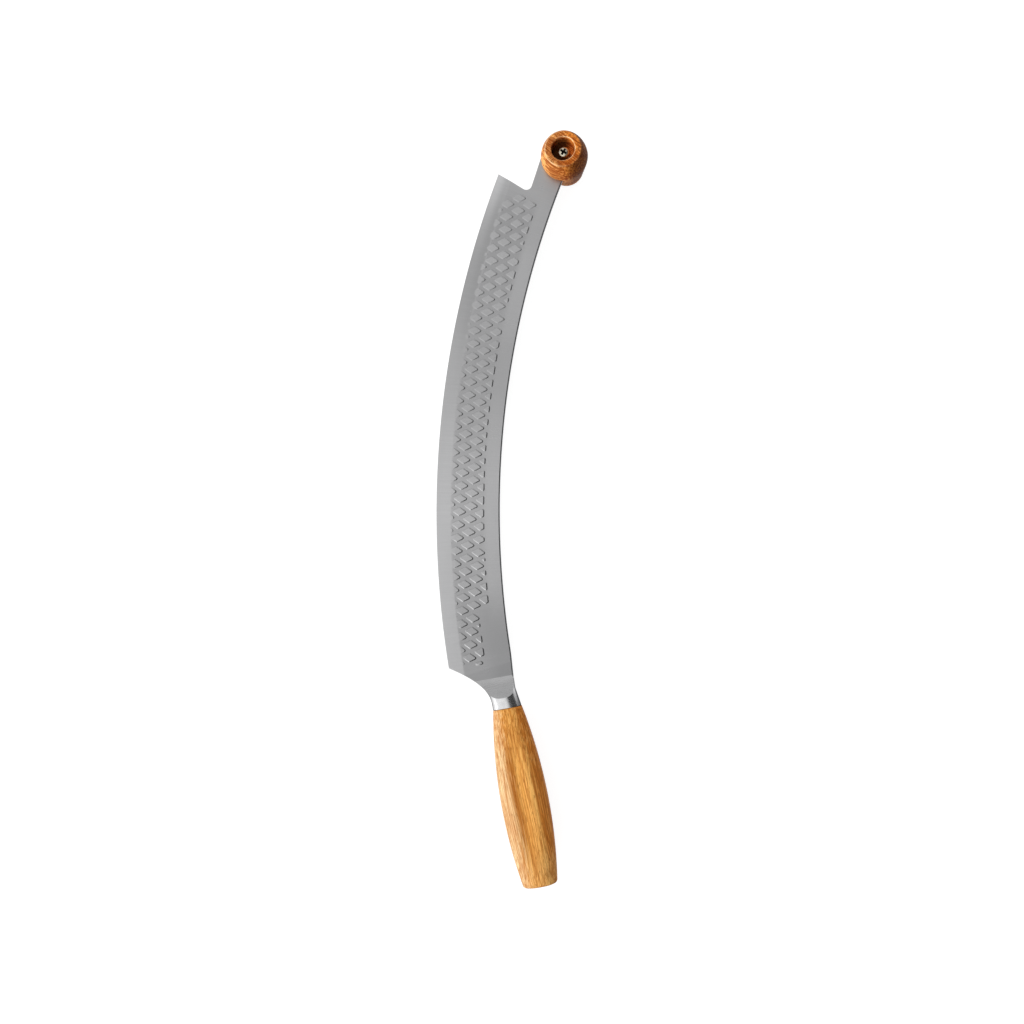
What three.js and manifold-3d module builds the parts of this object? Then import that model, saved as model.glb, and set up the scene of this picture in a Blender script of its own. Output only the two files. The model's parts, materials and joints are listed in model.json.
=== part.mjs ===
// Pizza and cheese knife: a long curved blade with a wooden handle behind it and a wooden knob in front.
// All sizes are in millimetres. The blade is drawn flat in the XY plane, with the middle of its cutting
// edge at the origin, +X towards the spine, +Y towards the knob and its faces looking along +Z and -Z.
// The finished knife is then laid on a table the way it rests by itself.
import * as THREE from 'three';
import { mergeGeometries, mergeVertices } from 'three/addons/utils/BufferGeometryUtils.js';
import Module from 'manifold-3d';

const wasm = await Module();
wasm.setup();

// Clearance between pieces that meet
const FIT_GAP = 0.3;

// Blade plate: cutting edge and spine are arcs about one centre
const EDGE_RADIUS = 626;
const EDGE_TO_TIP = 223.5;
const EDGE_TO_HEEL = 107.3;
const BLADE_WIDTH = 41.8;
const BLADE_THICKNESS = 2.5;
const EDGE_THICKNESS = 0.3;
const BEVEL_WIDTH = 9.5;

// Step at the tip, and the neck that carries the knob
const NOTCH_SETBACK = 5.6;
const NOTCH_RADIUS = 3.6;
const NECK_ROOT_WIDTH = 17.7;
const NECK_END_WIDTH = 19.5;
const TAB_REACH = 9;

// Diamond relief, the same on both faces
const DIAMOND_PITCH = 8.532;
const DIAMOND_TURN_DEG = -4.39;
const DIAMOND_CHANNEL = 1.76;
const DIAMOND_SLOPE = 0.8;
const DIAMOND_HEIGHT = 0.3;
const DIAMOND_START_X = 18.56;
const DIAMOND_START_Y = 37.67;
const SPINE_MARGIN = 10;
const HEEL_SPINE_MARGIN = 17;
const HEEL_PLAIN_LENGTH = 36;
const TIP_MARGIN = 4;

// Heel sweep, from the cutting edge round to the collar
const HEEL_RAKE_DEG = 30.5;
const HEEL_PULL = 19;
const COLLAR_PULL = 9;

// Joint between collar and handle, and the way the handle points
const JOINT_PAST_HEEL = 32.4;
const JOINT_FROM_EDGE = 32.9;
const HANDLE_TURN_DEG = 1.6;
const JOINT_WIDTH = 18.6;
const JOINT_WALL = 2;
const JOINT_SQUARENESS = 3;

// Collar (bolster), hollow-ground on both faces
const COLLAR_LENGTH = 4;
const COLLAR_WAIST = 14.6;
const COLLAR_WAIST_AHEAD = 12.1;
const SCOOP_RADIUS = 20;
const SCOOP_AHEAD = 21;
const CHEEK_EDGE = 0.4;
const SPINE_END_BEFORE_HEEL = 2;

// Tang, and the bore that it is bedded in
const TANG_WIDTH = 7;
const TANG_LENGTH = 75;
const EPOXY_BED = 0.6;
const BORE_PAST_TANG = 4;

// Handle: a barrel with a shallow hollow along both faces
const HANDLE_LENGTH = 114.1;
const BELLY_FROM_JOINT = 62;
const BELLY_WIDTH = 30.5;
const BELLY_DEPTH = 26;
const BELLY_SQUARENESS = 2.3;
const BUTT_WIDTH = 21.7;
const BUTT_DEPTH = 19;
const BUTT_ROUND = 1.2;
const BUTT_DOME = 0.8;
const BUTT_DOME_INSET = 0.4;
const HOLLOW_DEPTH = 1;
const HOLLOW_LENGTH = 80;
const HOLLOW_SPREAD = 0.62;

// Knob and its screw
const KNOB_PAST_TIP = 25.1;
const KNOB_FROM_SPINE = 4.3;
const KNOB_FRONT = 18.75;
const KNOB_BACK = 21;
const KNOB_GIRTH = 31;
const KNOB_GIRTH_HEIGHT = 3;
const KNOB_FRONT_END = 23.6;
const KNOB_BACK_END = 22.4;
const KNOB_CHAMFER = 0.6;
const COUNTERBORE = 15.3;
const COUNTERBORE_DEPTH = 9;
const COUNTERBORE_CHAMFER = 0.7;
const SCREW_DIAMETER = 4;
const SCREW_REACH = 22;
const SCREW_POINT = 3;
const SCREW_HEAD = 7.4;
const SCREW_HEAD_HEIGHT = 3.1;
const SCREW_HEAD_WALL = 1.3;
const RECESS_SPAN = 3.7;
const RECESS_WIDTH = 0.9;
const RECESS_DEPTH = 1.6;

// Facets
const ARC_STEPS = 24;
const RING_STEPS = 360;
const OVAL_POINTS = 36;
const TURNED_STEPS = 40;

// What the sizes above make together
const half = 0.5;
const faceHeight = BLADE_THICKNESS * half;
const slotHeight = BLADE_THICKNESS + 2 * FIT_GAP;
const knobAlong = EDGE_TO_TIP + KNOB_PAST_TIP;
const knobCentre = bladePoint(knobAlong, BLADE_WIDTH - KNOB_FROM_SPINE);
const jointAlong = -(EDGE_TO_HEEL + JOINT_PAST_HEEL);
const jointCentre = bladePoint(jointAlong, JOINT_FROM_EDGE);
const handleAngle = -jointAlong / EDGE_RADIUS - THREE.MathUtils.degToRad(HANDLE_TURN_DEG);
const heelSweep = makeHeelSweep();
const floorOfCounterbore = KNOB_FRONT - COUNTERBORE_DEPTH;
const diamondBase = DIAMOND_PITCH * Math.sin(Math.PI / 3) - DIAMOND_CHANNEL;
const diamondTop = diamondBase - DIAMOND_SLOPE;
const boreDiameter = Math.hypot(TANG_WIDTH + 2 * FIT_GAP, slotHeight) + 2 * (EPOXY_BED + FIT_GAP);
const jointDepth = boreDiameter + 2 * JOINT_WALL;

// Places on the blade: a length along the cutting edge's arc, and a depth in from it towards the spine
function bladePoint(along, inward) {
  const angle = along / EDGE_RADIUS;
  const radius = EDGE_RADIUS - inward;
  return new THREE.Vector2(EDGE_RADIUS - radius * Math.cos(angle), radius * Math.sin(angle));
}

// Places about the handle: across its axis, towards the spine side, and back from the joint
function handlePoint(across, back) {
  return new THREE.Vector2(across, -back).rotateAround(new THREE.Vector2(), handleAngle).add(jointCentre);
}

function backFromJoint(point) {
  const local = point.clone().sub(jointCentre).rotateAround(new THREE.Vector2(), -handleAngle);
  return { across: local.x, back: -local.y };
}

// Closed geometry to solid and back, for joins and cuts
function signedVolume(positions, triangles) {
  let volume = 0;
  const corners = [new THREE.Vector3(), new THREE.Vector3(), new THREE.Vector3()];
  for (let i = 0; i < triangles.length; i += 3) {
    corners.forEach((corner, k) => corner.fromArray(positions, 3 * triangles[i + k]));
    volume += corners[0].dot(corners[1].cross(corners[2]));
  }
  return volume;
}

function solidOf(geometry) {
  const bare = geometry.clone();
  bare.deleteAttribute('normal');
  bare.deleteAttribute('uv');
  const merged = mergeVertices(bare, 1e-5);
  const vertProperties = Float32Array.from(merged.attributes.position.array);
  const triVerts = Uint32Array.from(merged.index.array);
  if (signedVolume(vertProperties, triVerts) < 0) triVerts.reverse();
  return new wasm.Manifold(new wasm.Mesh({ numProp: 3, vertProperties, triVerts }));
}

function geometryOf(solid) {
  const mesh = solid.getMesh();
  const geometry = new THREE.BufferGeometry();
  geometry.setAttribute('position', new THREE.BufferAttribute(mesh.vertProperties, 3));
  geometry.setIndex(new THREE.BufferAttribute(mesh.triVerts, 1));
  return geometry;
}

// A flat shape given thickness, centred on z = 0
function plate(shape, thickness, curveSegments = ARC_STEPS) {
  const geometry = new THREE.ExtrudeGeometry(shape, { depth: thickness, bevelEnabled: false, curveSegments });
  return geometry.translate(0, 0, -thickness * half);
}

// A profile of [radius, height] pairs turned about the Z axis
function turned(profile, steps) {
  const points = profile.map(([radius, height]) => new THREE.Vector2(radius, height));
  return new THREE.LatheGeometry(points, steps).rotateX(Math.PI * half);
}

// A ring about the blade's arc centre, with its section given by depth in from the edge and height
function bladeRing(section) {
  const profile = section.map(([inward, height]) => [EDGE_RADIUS - inward, height]);
  profile.push(profile[0]);
  return turned(profile, RING_STEPS).translate(EDGE_RADIUS, 0, 0);
}

// Skin stretched over a row of rings with equal point counts, closed by a fan at each end
function loft(rings) {
  const count = rings[0].length;
  const centre = (ring) => ring.reduce((sum, p) => sum.add(p), new THREE.Vector3()).divideScalar(count);
  const points = [...rings.flat(), centre(rings[0]), centre(rings[rings.length - 1])];
  const lastRing = (rings.length - 1) * count;
  const firstCentre = rings.length * count;
  const index = [];
  for (let k = 0; k < count; k += 1) {
    const next = (k + 1) % count;
    for (let base = 0; base < lastRing; base += count) {
      index.push(base + k, base + next, base + count + k);
      index.push(base + next, base + count + next, base + count + k);
    }
    index.push(firstCentre, next, k);
    index.push(firstCentre + 1, lastRing + k, lastRing + next);
  }
  const geometry = new THREE.BufferGeometry().setFromPoints(points);
  geometry.setIndex(index);
  return geometry;
}

// One oval section across the handle's axis. It reaches from left to right, stands depth high and wide,
// and is cut flat where it would pass the given ceiling.
function ovalRing({ back, left, right, depth, squareness, ceiling = Infinity, dent = () => 0 }) {
  const middle = (left + right) * half;
  const reach = (right - left) * half;
  const power = 2 / squareness;
  const ring = [];
  for (let k = 0; k < OVAL_POINTS; k += 1) {
    const angle = (2 * Math.PI * k) / OVAL_POINTS;
    const across = Math.sign(Math.cos(angle)) * Math.abs(Math.cos(angle)) ** power;
    const rise = Math.sign(Math.sin(angle)) * Math.abs(Math.sin(angle)) ** power;
    const height = Math.min(Math.abs(rise) * depth - dent(across), ceiling);
    ring.push(new THREE.Vector3(middle + reach * across, -back, Math.sign(rise) * height));
  }
  return ring;
}

// A line to a corner, rounded to the given radius, on the way to the next point
function roundCorner(shape, from, corner, to, radius) {
  const inDirection = from.clone().sub(corner).normalize();
  const outDirection = to.clone().sub(corner).normalize();
  const halfAngle = Math.acos(inDirection.dot(outDirection)) * half;
  const centreDirection = inDirection.clone().add(outDirection).normalize();
  const centre = corner.clone().addScaledVector(centreDirection, radius / Math.sin(halfAngle));
  const start = corner.clone().addScaledVector(inDirection, radius / Math.tan(halfAngle));
  const end = corner.clone().addScaledVector(outDirection, radius / Math.tan(halfAngle));
  const startAngle = start.clone().sub(centre).angle();
  const endAngle = end.clone().sub(centre).angle();
  const clockwise = inDirection.cross(outDirection) > 0;
  shape.lineTo(start.x, start.y);
  shape.absarc(centre.x, centre.y, radius, startAngle, endAngle, clockwise);
}

// The heel's sweep: a curve from the heel of the cutting edge to the side of the collar
function makeHeelSweep() {
  const heel = bladePoint(-EDGE_TO_HEEL, 0);
  const start = bladePoint(-EDGE_TO_HEEL, 1).sub(heel).normalize();
  start.rotateAround(new THREE.Vector2(), -THREE.MathUtils.degToRad(HEEL_RAKE_DEG));
  const side = -JOINT_WIDTH * half;
  return new THREE.CubicBezierCurve(
    heel,
    heel.clone().addScaledVector(start, HEEL_PULL),
    handlePoint(side, -COLLAR_LENGTH - COLLAR_PULL),
    handlePoint(side, -COLLAR_LENGTH),
  );
}

// Side of the collar at a place along the handle's axis: the heel sweep on the left
function collarLeft(back) {
  if (back >= -COLLAR_LENGTH) return -JOINT_WIDTH * half;
  let near = 0;
  let far = 1;
  for (let pass = 0; pass < 40; pass += 1) {
    const middle = (near + far) * half;
    if (backFromJoint(heelSweep.getPoint(middle)).back < back) near = middle;
    else far = middle;
  }
  return backFromJoint(heelSweep.getPoint(near)).across;
}

// The spine side of the collar on the right, drawn in to a waist where it meets the spine
function collarRight(back) {
  const spineEnd = backFromJoint(spineEndPoint());
  const waist = COLLAR_WAIST * half;
  if (back > -COLLAR_WAIST_AHEAD) {
    return THREE.MathUtils.mapLinear(back, -COLLAR_WAIST_AHEAD, 0, waist, JOINT_WIDTH * half);
  }
  return THREE.MathUtils.mapLinear(back, -COLLAR_WAIST_AHEAD, spineEnd.back, waist, spineEnd.across);
}

function spineEndPoint() {
  return bladePoint(-EDGE_TO_HEEL + SPINE_END_BEFORE_HEEL, BLADE_WIDTH);
}

// The tab's half-oval end, which lies inside the knob; grow widens it for the slot that takes it
function tabEnd(shape, grow) {
  const left = bladePoint(knobAlong, BLADE_WIDTH - NECK_END_WIDTH - grow);
  const right = bladePoint(knobAlong, BLADE_WIDTH + grow);
  const centre = left.clone().lerp(right, half);
  const turn = right.clone().sub(left).angle();
  const reach = left.distanceTo(right) * half;
  shape.lineTo(left.x, left.y);
  shape.absellipse(centre.x, centre.y, reach, TAB_REACH + grow, Math.PI, 0, true, turn);
}

function bladeShape() {
  const shape = new THREE.Shape();
  const overhang = BEVEL_WIDTH * half;
  const tip = bladePoint(EDGE_TO_TIP, 0);
  const notch = bladePoint(EDGE_TO_TIP - NOTCH_SETBACK, BLADE_WIDTH - NECK_ROOT_WIDTH);
  const neckEnd = bladePoint(knobAlong, BLADE_WIDTH - NECK_END_WIDTH);
  const tipOutside = tip.clone().addScaledVector(tip.clone().sub(notch).normalize(), overhang);
  const heel = heelSweep.v0;
  const heelOutside = heel.clone().addScaledVector(heel.clone().sub(heelSweep.v1).normalize(), overhang);
  const spineRadius = EDGE_RADIUS - BLADE_WIDTH;
  const spineEndAngle = (-EDGE_TO_HEEL + SPINE_END_BEFORE_HEEL) / EDGE_RADIUS;
  const waist = handlePoint(COLLAR_WAIST * half, -COLLAR_WAIST_AHEAD);
  const shoulderRight = handlePoint(collarRight(-COLLAR_LENGTH), -COLLAR_LENGTH);
  const shoulderLeft = handlePoint(collarLeft(-COLLAR_LENGTH), -COLLAR_LENGTH);
  const tangSide = TANG_WIDTH * half;
  const tangEnd = handlePoint(0, TANG_LENGTH - tangSide);
  shape.moveTo(tipOutside.x, tipOutside.y);
  roundCorner(shape, tip, notch, neckEnd, NOTCH_RADIUS);
  tabEnd(shape, 0);
  const spineStart = Math.PI - knobAlong / EDGE_RADIUS;
  shape.absarc(EDGE_RADIUS, 0, spineRadius, spineStart, Math.PI - spineEndAngle, false);
  for (const point of [waist, shoulderRight, handlePoint(tangSide, -COLLAR_LENGTH)]) {
    shape.lineTo(point.x, point.y);
  }
  shape.absarc(tangEnd.x, tangEnd.y, tangSide, handleAngle, handleAngle - Math.PI, true);
  for (const point of [handlePoint(-tangSide, -COLLAR_LENGTH), shoulderLeft]) {
    shape.lineTo(point.x, point.y);
  }
  shape.bezierCurveTo(heelSweep.v2.x, heelSweep.v2.y, heelSweep.v1.x, heelSweep.v1.y, heel.x, heel.y);
  shape.lineTo(heelOutside.x, heelOutside.y);
  const outside = EDGE_RADIUS + overhang;
  const from = Math.atan2(heelOutside.y, heelOutside.x - EDGE_RADIUS);
  const to = Math.atan2(tipOutside.y, tipOutside.x - EDGE_RADIUS);
  shape.absarc(EDGE_RADIUS, 0, outside, from, to, true);
  const hole = new THREE.Path();
  hole.absarc(knobCentre.x, knobCentre.y, SCREW_DIAMETER * half + FIT_GAP, 0, 2 * Math.PI, false);
  shape.holes.push(hole);
  return shape;
}

// Raised diamonds on a straight lattice of 60 degree rhombs, cut to a band that follows the blade. They
// stop square to the cutting edge where it ends at the heel.
function diamondRelief() {
  const turn = THREE.MathUtils.degToRad(DIAMOND_TURN_DEG);
  const rise = new THREE.Vector2(DIAMOND_PITCH, 0).rotateAround(new THREE.Vector2(), turn + Math.PI / 6);
  const fall = new THREE.Vector2(DIAMOND_PITCH, 0).rotateAround(new THREE.Vector2(), turn - Math.PI / 6);
  const root = faceHeight * half;
  const pad = new THREE.CylinderGeometry(diamondTop, diamondBase, DIAMOND_HEIGHT + root, 4);
  pad.rotateX(Math.PI * half).scale(1, Math.tan(Math.PI / 6), 1).rotateZ(turn);
  pad.translate(0, 0, faceHeight + (DIAMOND_HEIGHT - root) * half);
  const tipEnd = EDGE_TO_TIP - NOTCH_SETBACK - TIP_MARGIN;
  const narrowing = -EDGE_TO_HEEL + HEEL_PLAIN_LENGTH;
  const bands = [
    { margin: SPINE_MARGIN, from: narrowing, to: tipEnd },
    { margin: HEEL_SPINE_MARGIN, from: -EDGE_TO_HEEL - diamondTop * half, to: narrowing },
  ];
  const reach = Math.ceil((2 * (EDGE_TO_TIP + EDGE_TO_HEEL)) / DIAMOND_PITCH);
  let relief = null;
  for (const band of bands) {
    const last = BLADE_WIDTH - band.margin;
    const pads = [];
    for (let i = -reach; i <= reach; i += 1) {
      for (let j = -reach; j <= reach; j += 1) {
        const spot = new THREE.Vector2(DIAMOND_START_X, DIAMOND_START_Y);
        spot.addScaledVector(rise, i).addScaledVector(fall, j);
        const inward = EDGE_RADIUS - Math.hypot(EDGE_RADIUS - spot.x, spot.y);
        const along = EDGE_RADIUS * Math.atan2(spot.y, EDGE_RADIUS - spot.x);
        const inBand = inward > BEVEL_WIDTH && inward < last + diamondTop * half;
        if (inBand && along >= band.from && along < band.to) {
          pads.push(pad.clone().translate(spot.x, spot.y, 0));
        }
      }
    }
    const front = mergeGeometries(pads);
    const back = front.clone().rotateX(Math.PI).scale(1, -1, 1);
    const height = faceHeight + 2 * DIAMOND_HEIGHT;
    const cutter = solidOf(bladeRing([[0, -height], [0, height], [last, height], [last, -height]]));
    const trimmed = solidOf(front).add(solidOf(back)).intersect(cutter);
    relief = relief ? relief.add(trimmed) : trimmed;
  }
  const heelAngle = -EDGE_TO_HEEL / EDGE_RADIUS;
  const alongEdge = [Math.sin(heelAngle), Math.cos(heelAngle), 0];
  return relief.trimByPlane(alongEdge, EDGE_RADIUS * Math.sin(heelAngle));
}

// The blade: plate and relief together, ground to the cutting edge on both sides
function makeBlade() {
  const edge = EDGE_THICKNESS * half;
  const top = faceHeight + 3 * DIAMOND_HEIGHT;
  const grind = (BEVEL_WIDTH * (top - edge)) / (faceHeight - edge);
  const inside = 2 * BLADE_WIDTH;
  const section = [[0, -edge], [0, edge], [grind, top], [inside, top], [inside, -top], [grind, -top]];
  const plateSolid = solidOf(plate(bladeShape(), BLADE_THICKNESS));
  return geometryOf(plateSolid.add(diamondRelief()).intersect(solidOf(bladeRing(section))));
}

// Height of the hollow grind above the blade's middle plane
function scoopHeight(back) {
  const run = Math.max(back + SCOOP_AHEAD, 0);
  if (run >= SCOOP_RADIUS) return Infinity;
  return faceHeight + SCOOP_RADIUS - Math.sqrt(SCOOP_RADIUS ** 2 - run ** 2);
}

// The bolster: an oval collar with two hollow-ground cheeks, slotted over the blade
function makeBolster() {
  const cheek = FIT_GAP + CHEEK_EDGE;
  const front = Math.sqrt(SCOOP_RADIUS ** 2 - (SCOOP_RADIUS - cheek) ** 2) - SCOOP_AHEAD;
  const steps = 16;
  const rings = [];
  for (let k = 0; k <= steps; k += 1) {
    const back = THREE.MathUtils.lerp(front, 0, k / steps);
    rings.push(ovalRing({
      back,
      left: collarLeft(back),
      right: collarRight(back),
      depth: jointDepth * half,
      squareness: JOINT_SQUARENESS,
      ceiling: scoopHeight(back),
    }));
  }
  const slotEnd = -COLLAR_LENGTH + FIT_GAP;
  const slotLength = slotEnd - front + COLLAR_LENGTH;
  const slotWidth = 2 * BLADE_WIDTH;
  const slot = new THREE.BoxGeometry(slotWidth, slotLength, slotHeight);
  slot.translate(0, slotLength * half - slotEnd, 0);
  const tangHole = new THREE.BoxGeometry(TANG_WIDTH + 2 * FIT_GAP, 4 * COLLAR_LENGTH, slotHeight);
  return geometryOf(solidOf(loft(rings)).subtract(solidOf(slot)).subtract(solidOf(tangHole)));
}

// Half a size along the handle: it swells from the joint to the belly and draws in again to the butt
function barrel(back, jointSize, bellySize, buttSize) {
  const end = back < BELLY_FROM_JOINT ? jointSize : buttSize;
  const run = back < BELLY_FROM_JOINT ? BELLY_FROM_JOINT : HANDLE_LENGTH - BELLY_FROM_JOINT;
  return (bellySize - (bellySize - end) * ((back - BELLY_FROM_JOINT) / run) ** 2) * half;
}

function handleRing(back, inset) {
  const reach = barrel(back, JOINT_WIDTH, BELLY_WIDTH, BUTT_WIDTH) - inset;
  const fromBelly = Math.abs(back - BELLY_FROM_JOINT);
  const length = Math.max(1 - (fromBelly / (HOLLOW_LENGTH * half)) ** 2, 0);
  const soften = back < BELLY_FROM_JOINT ? fromBelly / BELLY_FROM_JOINT : 0;
  return ovalRing({
    back,
    left: -reach,
    right: reach,
    depth: barrel(back, jointDepth, BELLY_DEPTH, BUTT_DEPTH) - inset,
    squareness: THREE.MathUtils.lerp(BELLY_SQUARENESS, JOINT_SQUARENESS, soften),
    dent: (across) => HOLLOW_DEPTH * length ** 2 * Math.max(1 - (across / HOLLOW_SPREAD) ** 2, 0) ** 2,
  });
}

function makeHandle() {
  const rings = [];
  const sideSteps = 18;
  const sideEnd = HANDLE_LENGTH - BUTT_DOME - BUTT_ROUND;
  for (let k = 0; k <= sideSteps; k += 1) {
    rings.push(handleRing(THREE.MathUtils.lerp(FIT_GAP, sideEnd, k / sideSteps), 0));
  }
  const roundSteps = 3;
  for (let k = 1; k <= roundSteps; k += 1) {
    const angle = (Math.PI * half * k) / roundSteps;
    rings.push(handleRing(sideEnd + BUTT_ROUND * Math.sin(angle), BUTT_ROUND * (1 - Math.cos(angle))));
  }
  const domeSteps = 2;
  for (let k = 1; k <= domeSteps; k += 1) {
    const share = k / domeSteps;
    const rise = HANDLE_LENGTH - BUTT_DOME * (1 - share) ** 2;
    rings.push(handleRing(rise, THREE.MathUtils.lerp(BUTT_ROUND, BUTT_DEPTH * BUTT_DOME_INSET, share)));
  }
  const boreRadius = boreDiameter * half;
  const bore = new THREE.CylinderGeometry(boreRadius, boreRadius, 2 * boreDepth(), TURNED_STEPS);
  return geometryOf(solidOf(loft(rings)).subtract(solidOf(bore)));
}

function boreDepth() {
  return TANG_LENGTH + BORE_PAST_TANG;
}

// The set adhesive: a plug that fills the bore, with the tang's shape left open in it
function makeTangEpoxy() {
  const radius = boreDiameter * half - FIT_GAP;
  const length = boreDepth() - 2 * FIT_GAP;
  const plug = new THREE.CylinderGeometry(radius, radius, length, TURNED_STEPS);
  plug.translate(0, -FIT_GAP - length * half, 0);
  const side = TANG_WIDTH * half + FIT_GAP;
  const tang = new THREE.Shape();
  tang.moveTo(-side, COLLAR_LENGTH);
  tang.lineTo(side, COLLAR_LENGTH);
  tang.lineTo(side, -TANG_LENGTH + TANG_WIDTH * half);
  tang.absarc(0, -TANG_LENGTH + TANG_WIDTH * half, side, 0, -Math.PI, true);
  return geometryOf(solidOf(plug).subtract(solidOf(plate(tang, slotHeight))));
}

// The knob: a turned piece that tapers to the back and is barrelled to the front, counterbored for the
// screw head and slotted for the blade's tab
function makeKnob() {
  const girth = KNOB_GIRTH * half;
  const frontEnd = KNOB_FRONT_END * half;
  const backEnd = KNOB_BACK_END * half;
  const frontRun = KNOB_FRONT - KNOB_GIRTH_HEIGHT;
  const swell = (height) => girth - (girth - frontEnd) * ((height - KNOB_GIRTH_HEIGHT) / frontRun) ** 2;
  const backFace = -KNOB_BACK;
  const profile = [[0, backFace], [backEnd - KNOB_CHAMFER, backFace], [backEnd, backFace + KNOB_CHAMFER]];
  const sideSteps = 5;
  for (let k = 0; k <= sideSteps; k += 1) {
    const height = THREE.MathUtils.lerp(KNOB_GIRTH_HEIGHT, KNOB_FRONT - KNOB_CHAMFER, k / sideSteps);
    profile.push([swell(height), height]);
  }
  profile.push([frontEnd - KNOB_CHAMFER, KNOB_FRONT]);
  profile.push([COUNTERBORE * half + COUNTERBORE_CHAMFER, KNOB_FRONT]);
  profile.push([COUNTERBORE * half, KNOB_FRONT - COUNTERBORE_CHAMFER]);
  profile.push([COUNTERBORE * half, floorOfCounterbore], [0, floorOfCounterbore]);
  const holeRadius = SCREW_DIAMETER * half + FIT_GAP;
  const hole = new THREE.CylinderGeometry(holeRadius, holeRadius, SCREW_REACH + 2 * FIT_GAP, TURNED_STEPS);
  hole.rotateX(Math.PI * half).translate(0, 0, floorOfCounterbore - SCREW_REACH * half + FIT_GAP);
  const slot = new THREE.Shape();
  const slotStart = knobAlong - KNOB_GIRTH;
  const left = bladePoint(slotStart, BLADE_WIDTH - NECK_END_WIDTH - FIT_GAP);
  const right = bladePoint(slotStart, BLADE_WIDTH + FIT_GAP);
  slot.moveTo(right.x, right.y);
  slot.lineTo(left.x, left.y);
  tabEnd(slot, FIT_GAP);
  const spineRadius = EDGE_RADIUS - BLADE_WIDTH - FIT_GAP;
  slot.absarc(
    EDGE_RADIUS, 0, spineRadius, Math.PI - knobAlong / EDGE_RADIUS, Math.PI - slotStart / EDGE_RADIUS, false,
  );
  const slotPlate = plate(slot, slotHeight).translate(-knobCentre.x, -knobCentre.y, 0);
  const body = solidOf(turned(profile, TURNED_STEPS));
  return geometryOf(body.subtract(solidOf(slotPlate)).subtract(solidOf(hole)));
}

// The knob's screw: pan head with a cross recess, plain shank and a blunt point
function makeKnobScrew() {
  const seat = floorOfCounterbore + FIT_GAP;
  const shank = SCREW_DIAMETER * half;
  const head = SCREW_HEAD * half;
  const tip = seat - SCREW_REACH;
  const profile = [[0, tip], [shank * half, tip], [shank, tip + SCREW_POINT], [shank, seat], [head, seat]];
  const domeSteps = 6;
  const domeHeight = SCREW_HEAD_HEIGHT - SCREW_HEAD_WALL;
  for (let k = 0; k < domeSteps; k += 1) {
    const angle = (Math.PI * half * k) / domeSteps;
    profile.push([head * Math.cos(angle) ** half, seat + SCREW_HEAD_WALL + domeHeight * Math.sin(angle)]);
  }
  profile.push([0, seat + SCREW_HEAD_HEIGHT]);
  const recessHeight = seat + SCREW_HEAD_HEIGHT;
  const slotA = new THREE.BoxGeometry(RECESS_SPAN, RECESS_WIDTH, 2 * RECESS_DEPTH);
  slotA.translate(0, 0, recessHeight);
  const slotB = slotA.clone().rotateZ(Math.PI * half);
  const body = solidOf(turned(profile, TURNED_STEPS));
  const recess = solidOf(slotA).add(solidOf(slotB));
  return geometryOf(body.subtract(recess));
}

// Named pieces, each with its own material
function piece(name, geometry, color, roughness, metalness) {
  const mesh = new THREE.Mesh(geometry, new THREE.MeshStandardMaterial({ color, roughness, metalness }));
  mesh.name = name;
  return mesh;
}

const blade = piece('blade', makeBlade(), 0xa9aaac, 0.38, 1);
const bolster = piece('bolster', makeBolster(), 0xd2d3d5, 0.12, 1);
const handle = piece('handle', makeHandle(), 0xd59a52, 0.55, 0);
const tangEpoxy = piece('tang_epoxy', makeTangEpoxy(), 0xb9a98a, 0.4, 0);
const knob = piece('knob', makeKnob(), 0xa65f24, 0.5, 0);
const knobScrew = piece('knob_screw', makeKnobScrew(), 0xc9c6b8, 0.25, 1);

const handleGroup = new THREE.Group();
handleGroup.position.set(jointCentre.x, jointCentre.y, 0);
handleGroup.rotation.z = handleAngle;
handleGroup.add(bolster, handle, tangEpoxy);

const knobGroup = new THREE.Group();
knobGroup.position.set(knobCentre.x, knobCentre.y, 0);
knobGroup.add(knob, knobScrew);

const knife = new THREE.Group();
knife.add(blade, handleGroup, knobGroup);

// Lowest point of a piece, with the knife rolled about its length and pitched about its width
function lowestPoint(mesh, roll, pitch) {
  knife.rotation.set(pitch, roll, 0, 'XYZ');
  knife.updateMatrixWorld(true);
  const point = new THREE.Vector3();
  const positions = mesh.geometry.attributes.position;
  let lowest = Infinity;
  for (let i = 0; i < positions.count; i += 1) {
    lowest = Math.min(lowest, point.fromBufferAttribute(positions, i).applyMatrix4(mesh.matrixWorld).z);
  }
  return lowest;
}

// On a table the knife lies on three places: its cutting edge, its knob and the belly of its handle.
// Newton steps bring their lowest points to one height.
function layOnTable() {
  const nudge = 1e-4;
  const misfit = (roll, pitch) => {
    const edge = lowestPoint(blade, roll, pitch);
    return [lowestPoint(knob, roll, pitch) - edge, lowestPoint(handle, roll, pitch) - edge];
  };
  let roll = -Math.atan2(KNOB_BACK, knobCentre.x);
  let pitch = 0;
  for (let pass = 0; pass < 20; pass += 1) {
    const [knobGap, handleGap] = misfit(roll, pitch);
    const rolled = misfit(roll + nudge, pitch);
    const pitched = misfit(roll, pitch + nudge);
    const a = (rolled[0] - knobGap) / nudge;
    const b = (pitched[0] - knobGap) / nudge;
    const c = (rolled[1] - handleGap) / nudge;
    const d = (pitched[1] - handleGap) / nudge;
    const determinant = a * d - b * c;
    roll -= (d * knobGap - b * handleGap) / determinant;
    pitch -= (a * handleGap - c * knobGap) / determinant;
  }
  knife.rotation.set(pitch, roll, 0, 'XYZ');
}

layOnTable();
knife.updateMatrixWorld(true);
const extent = new THREE.Box3().setFromObject(knife, true);
const middle = extent.getCenter(new THREE.Vector3());
knife.position.set(-middle.x, -middle.y, -extent.min.z);

const pizzaCheeseKnife = new THREE.Group();
pizzaCheeseKnife.add(knife);

export default pizzaCheeseKnife;
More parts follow.
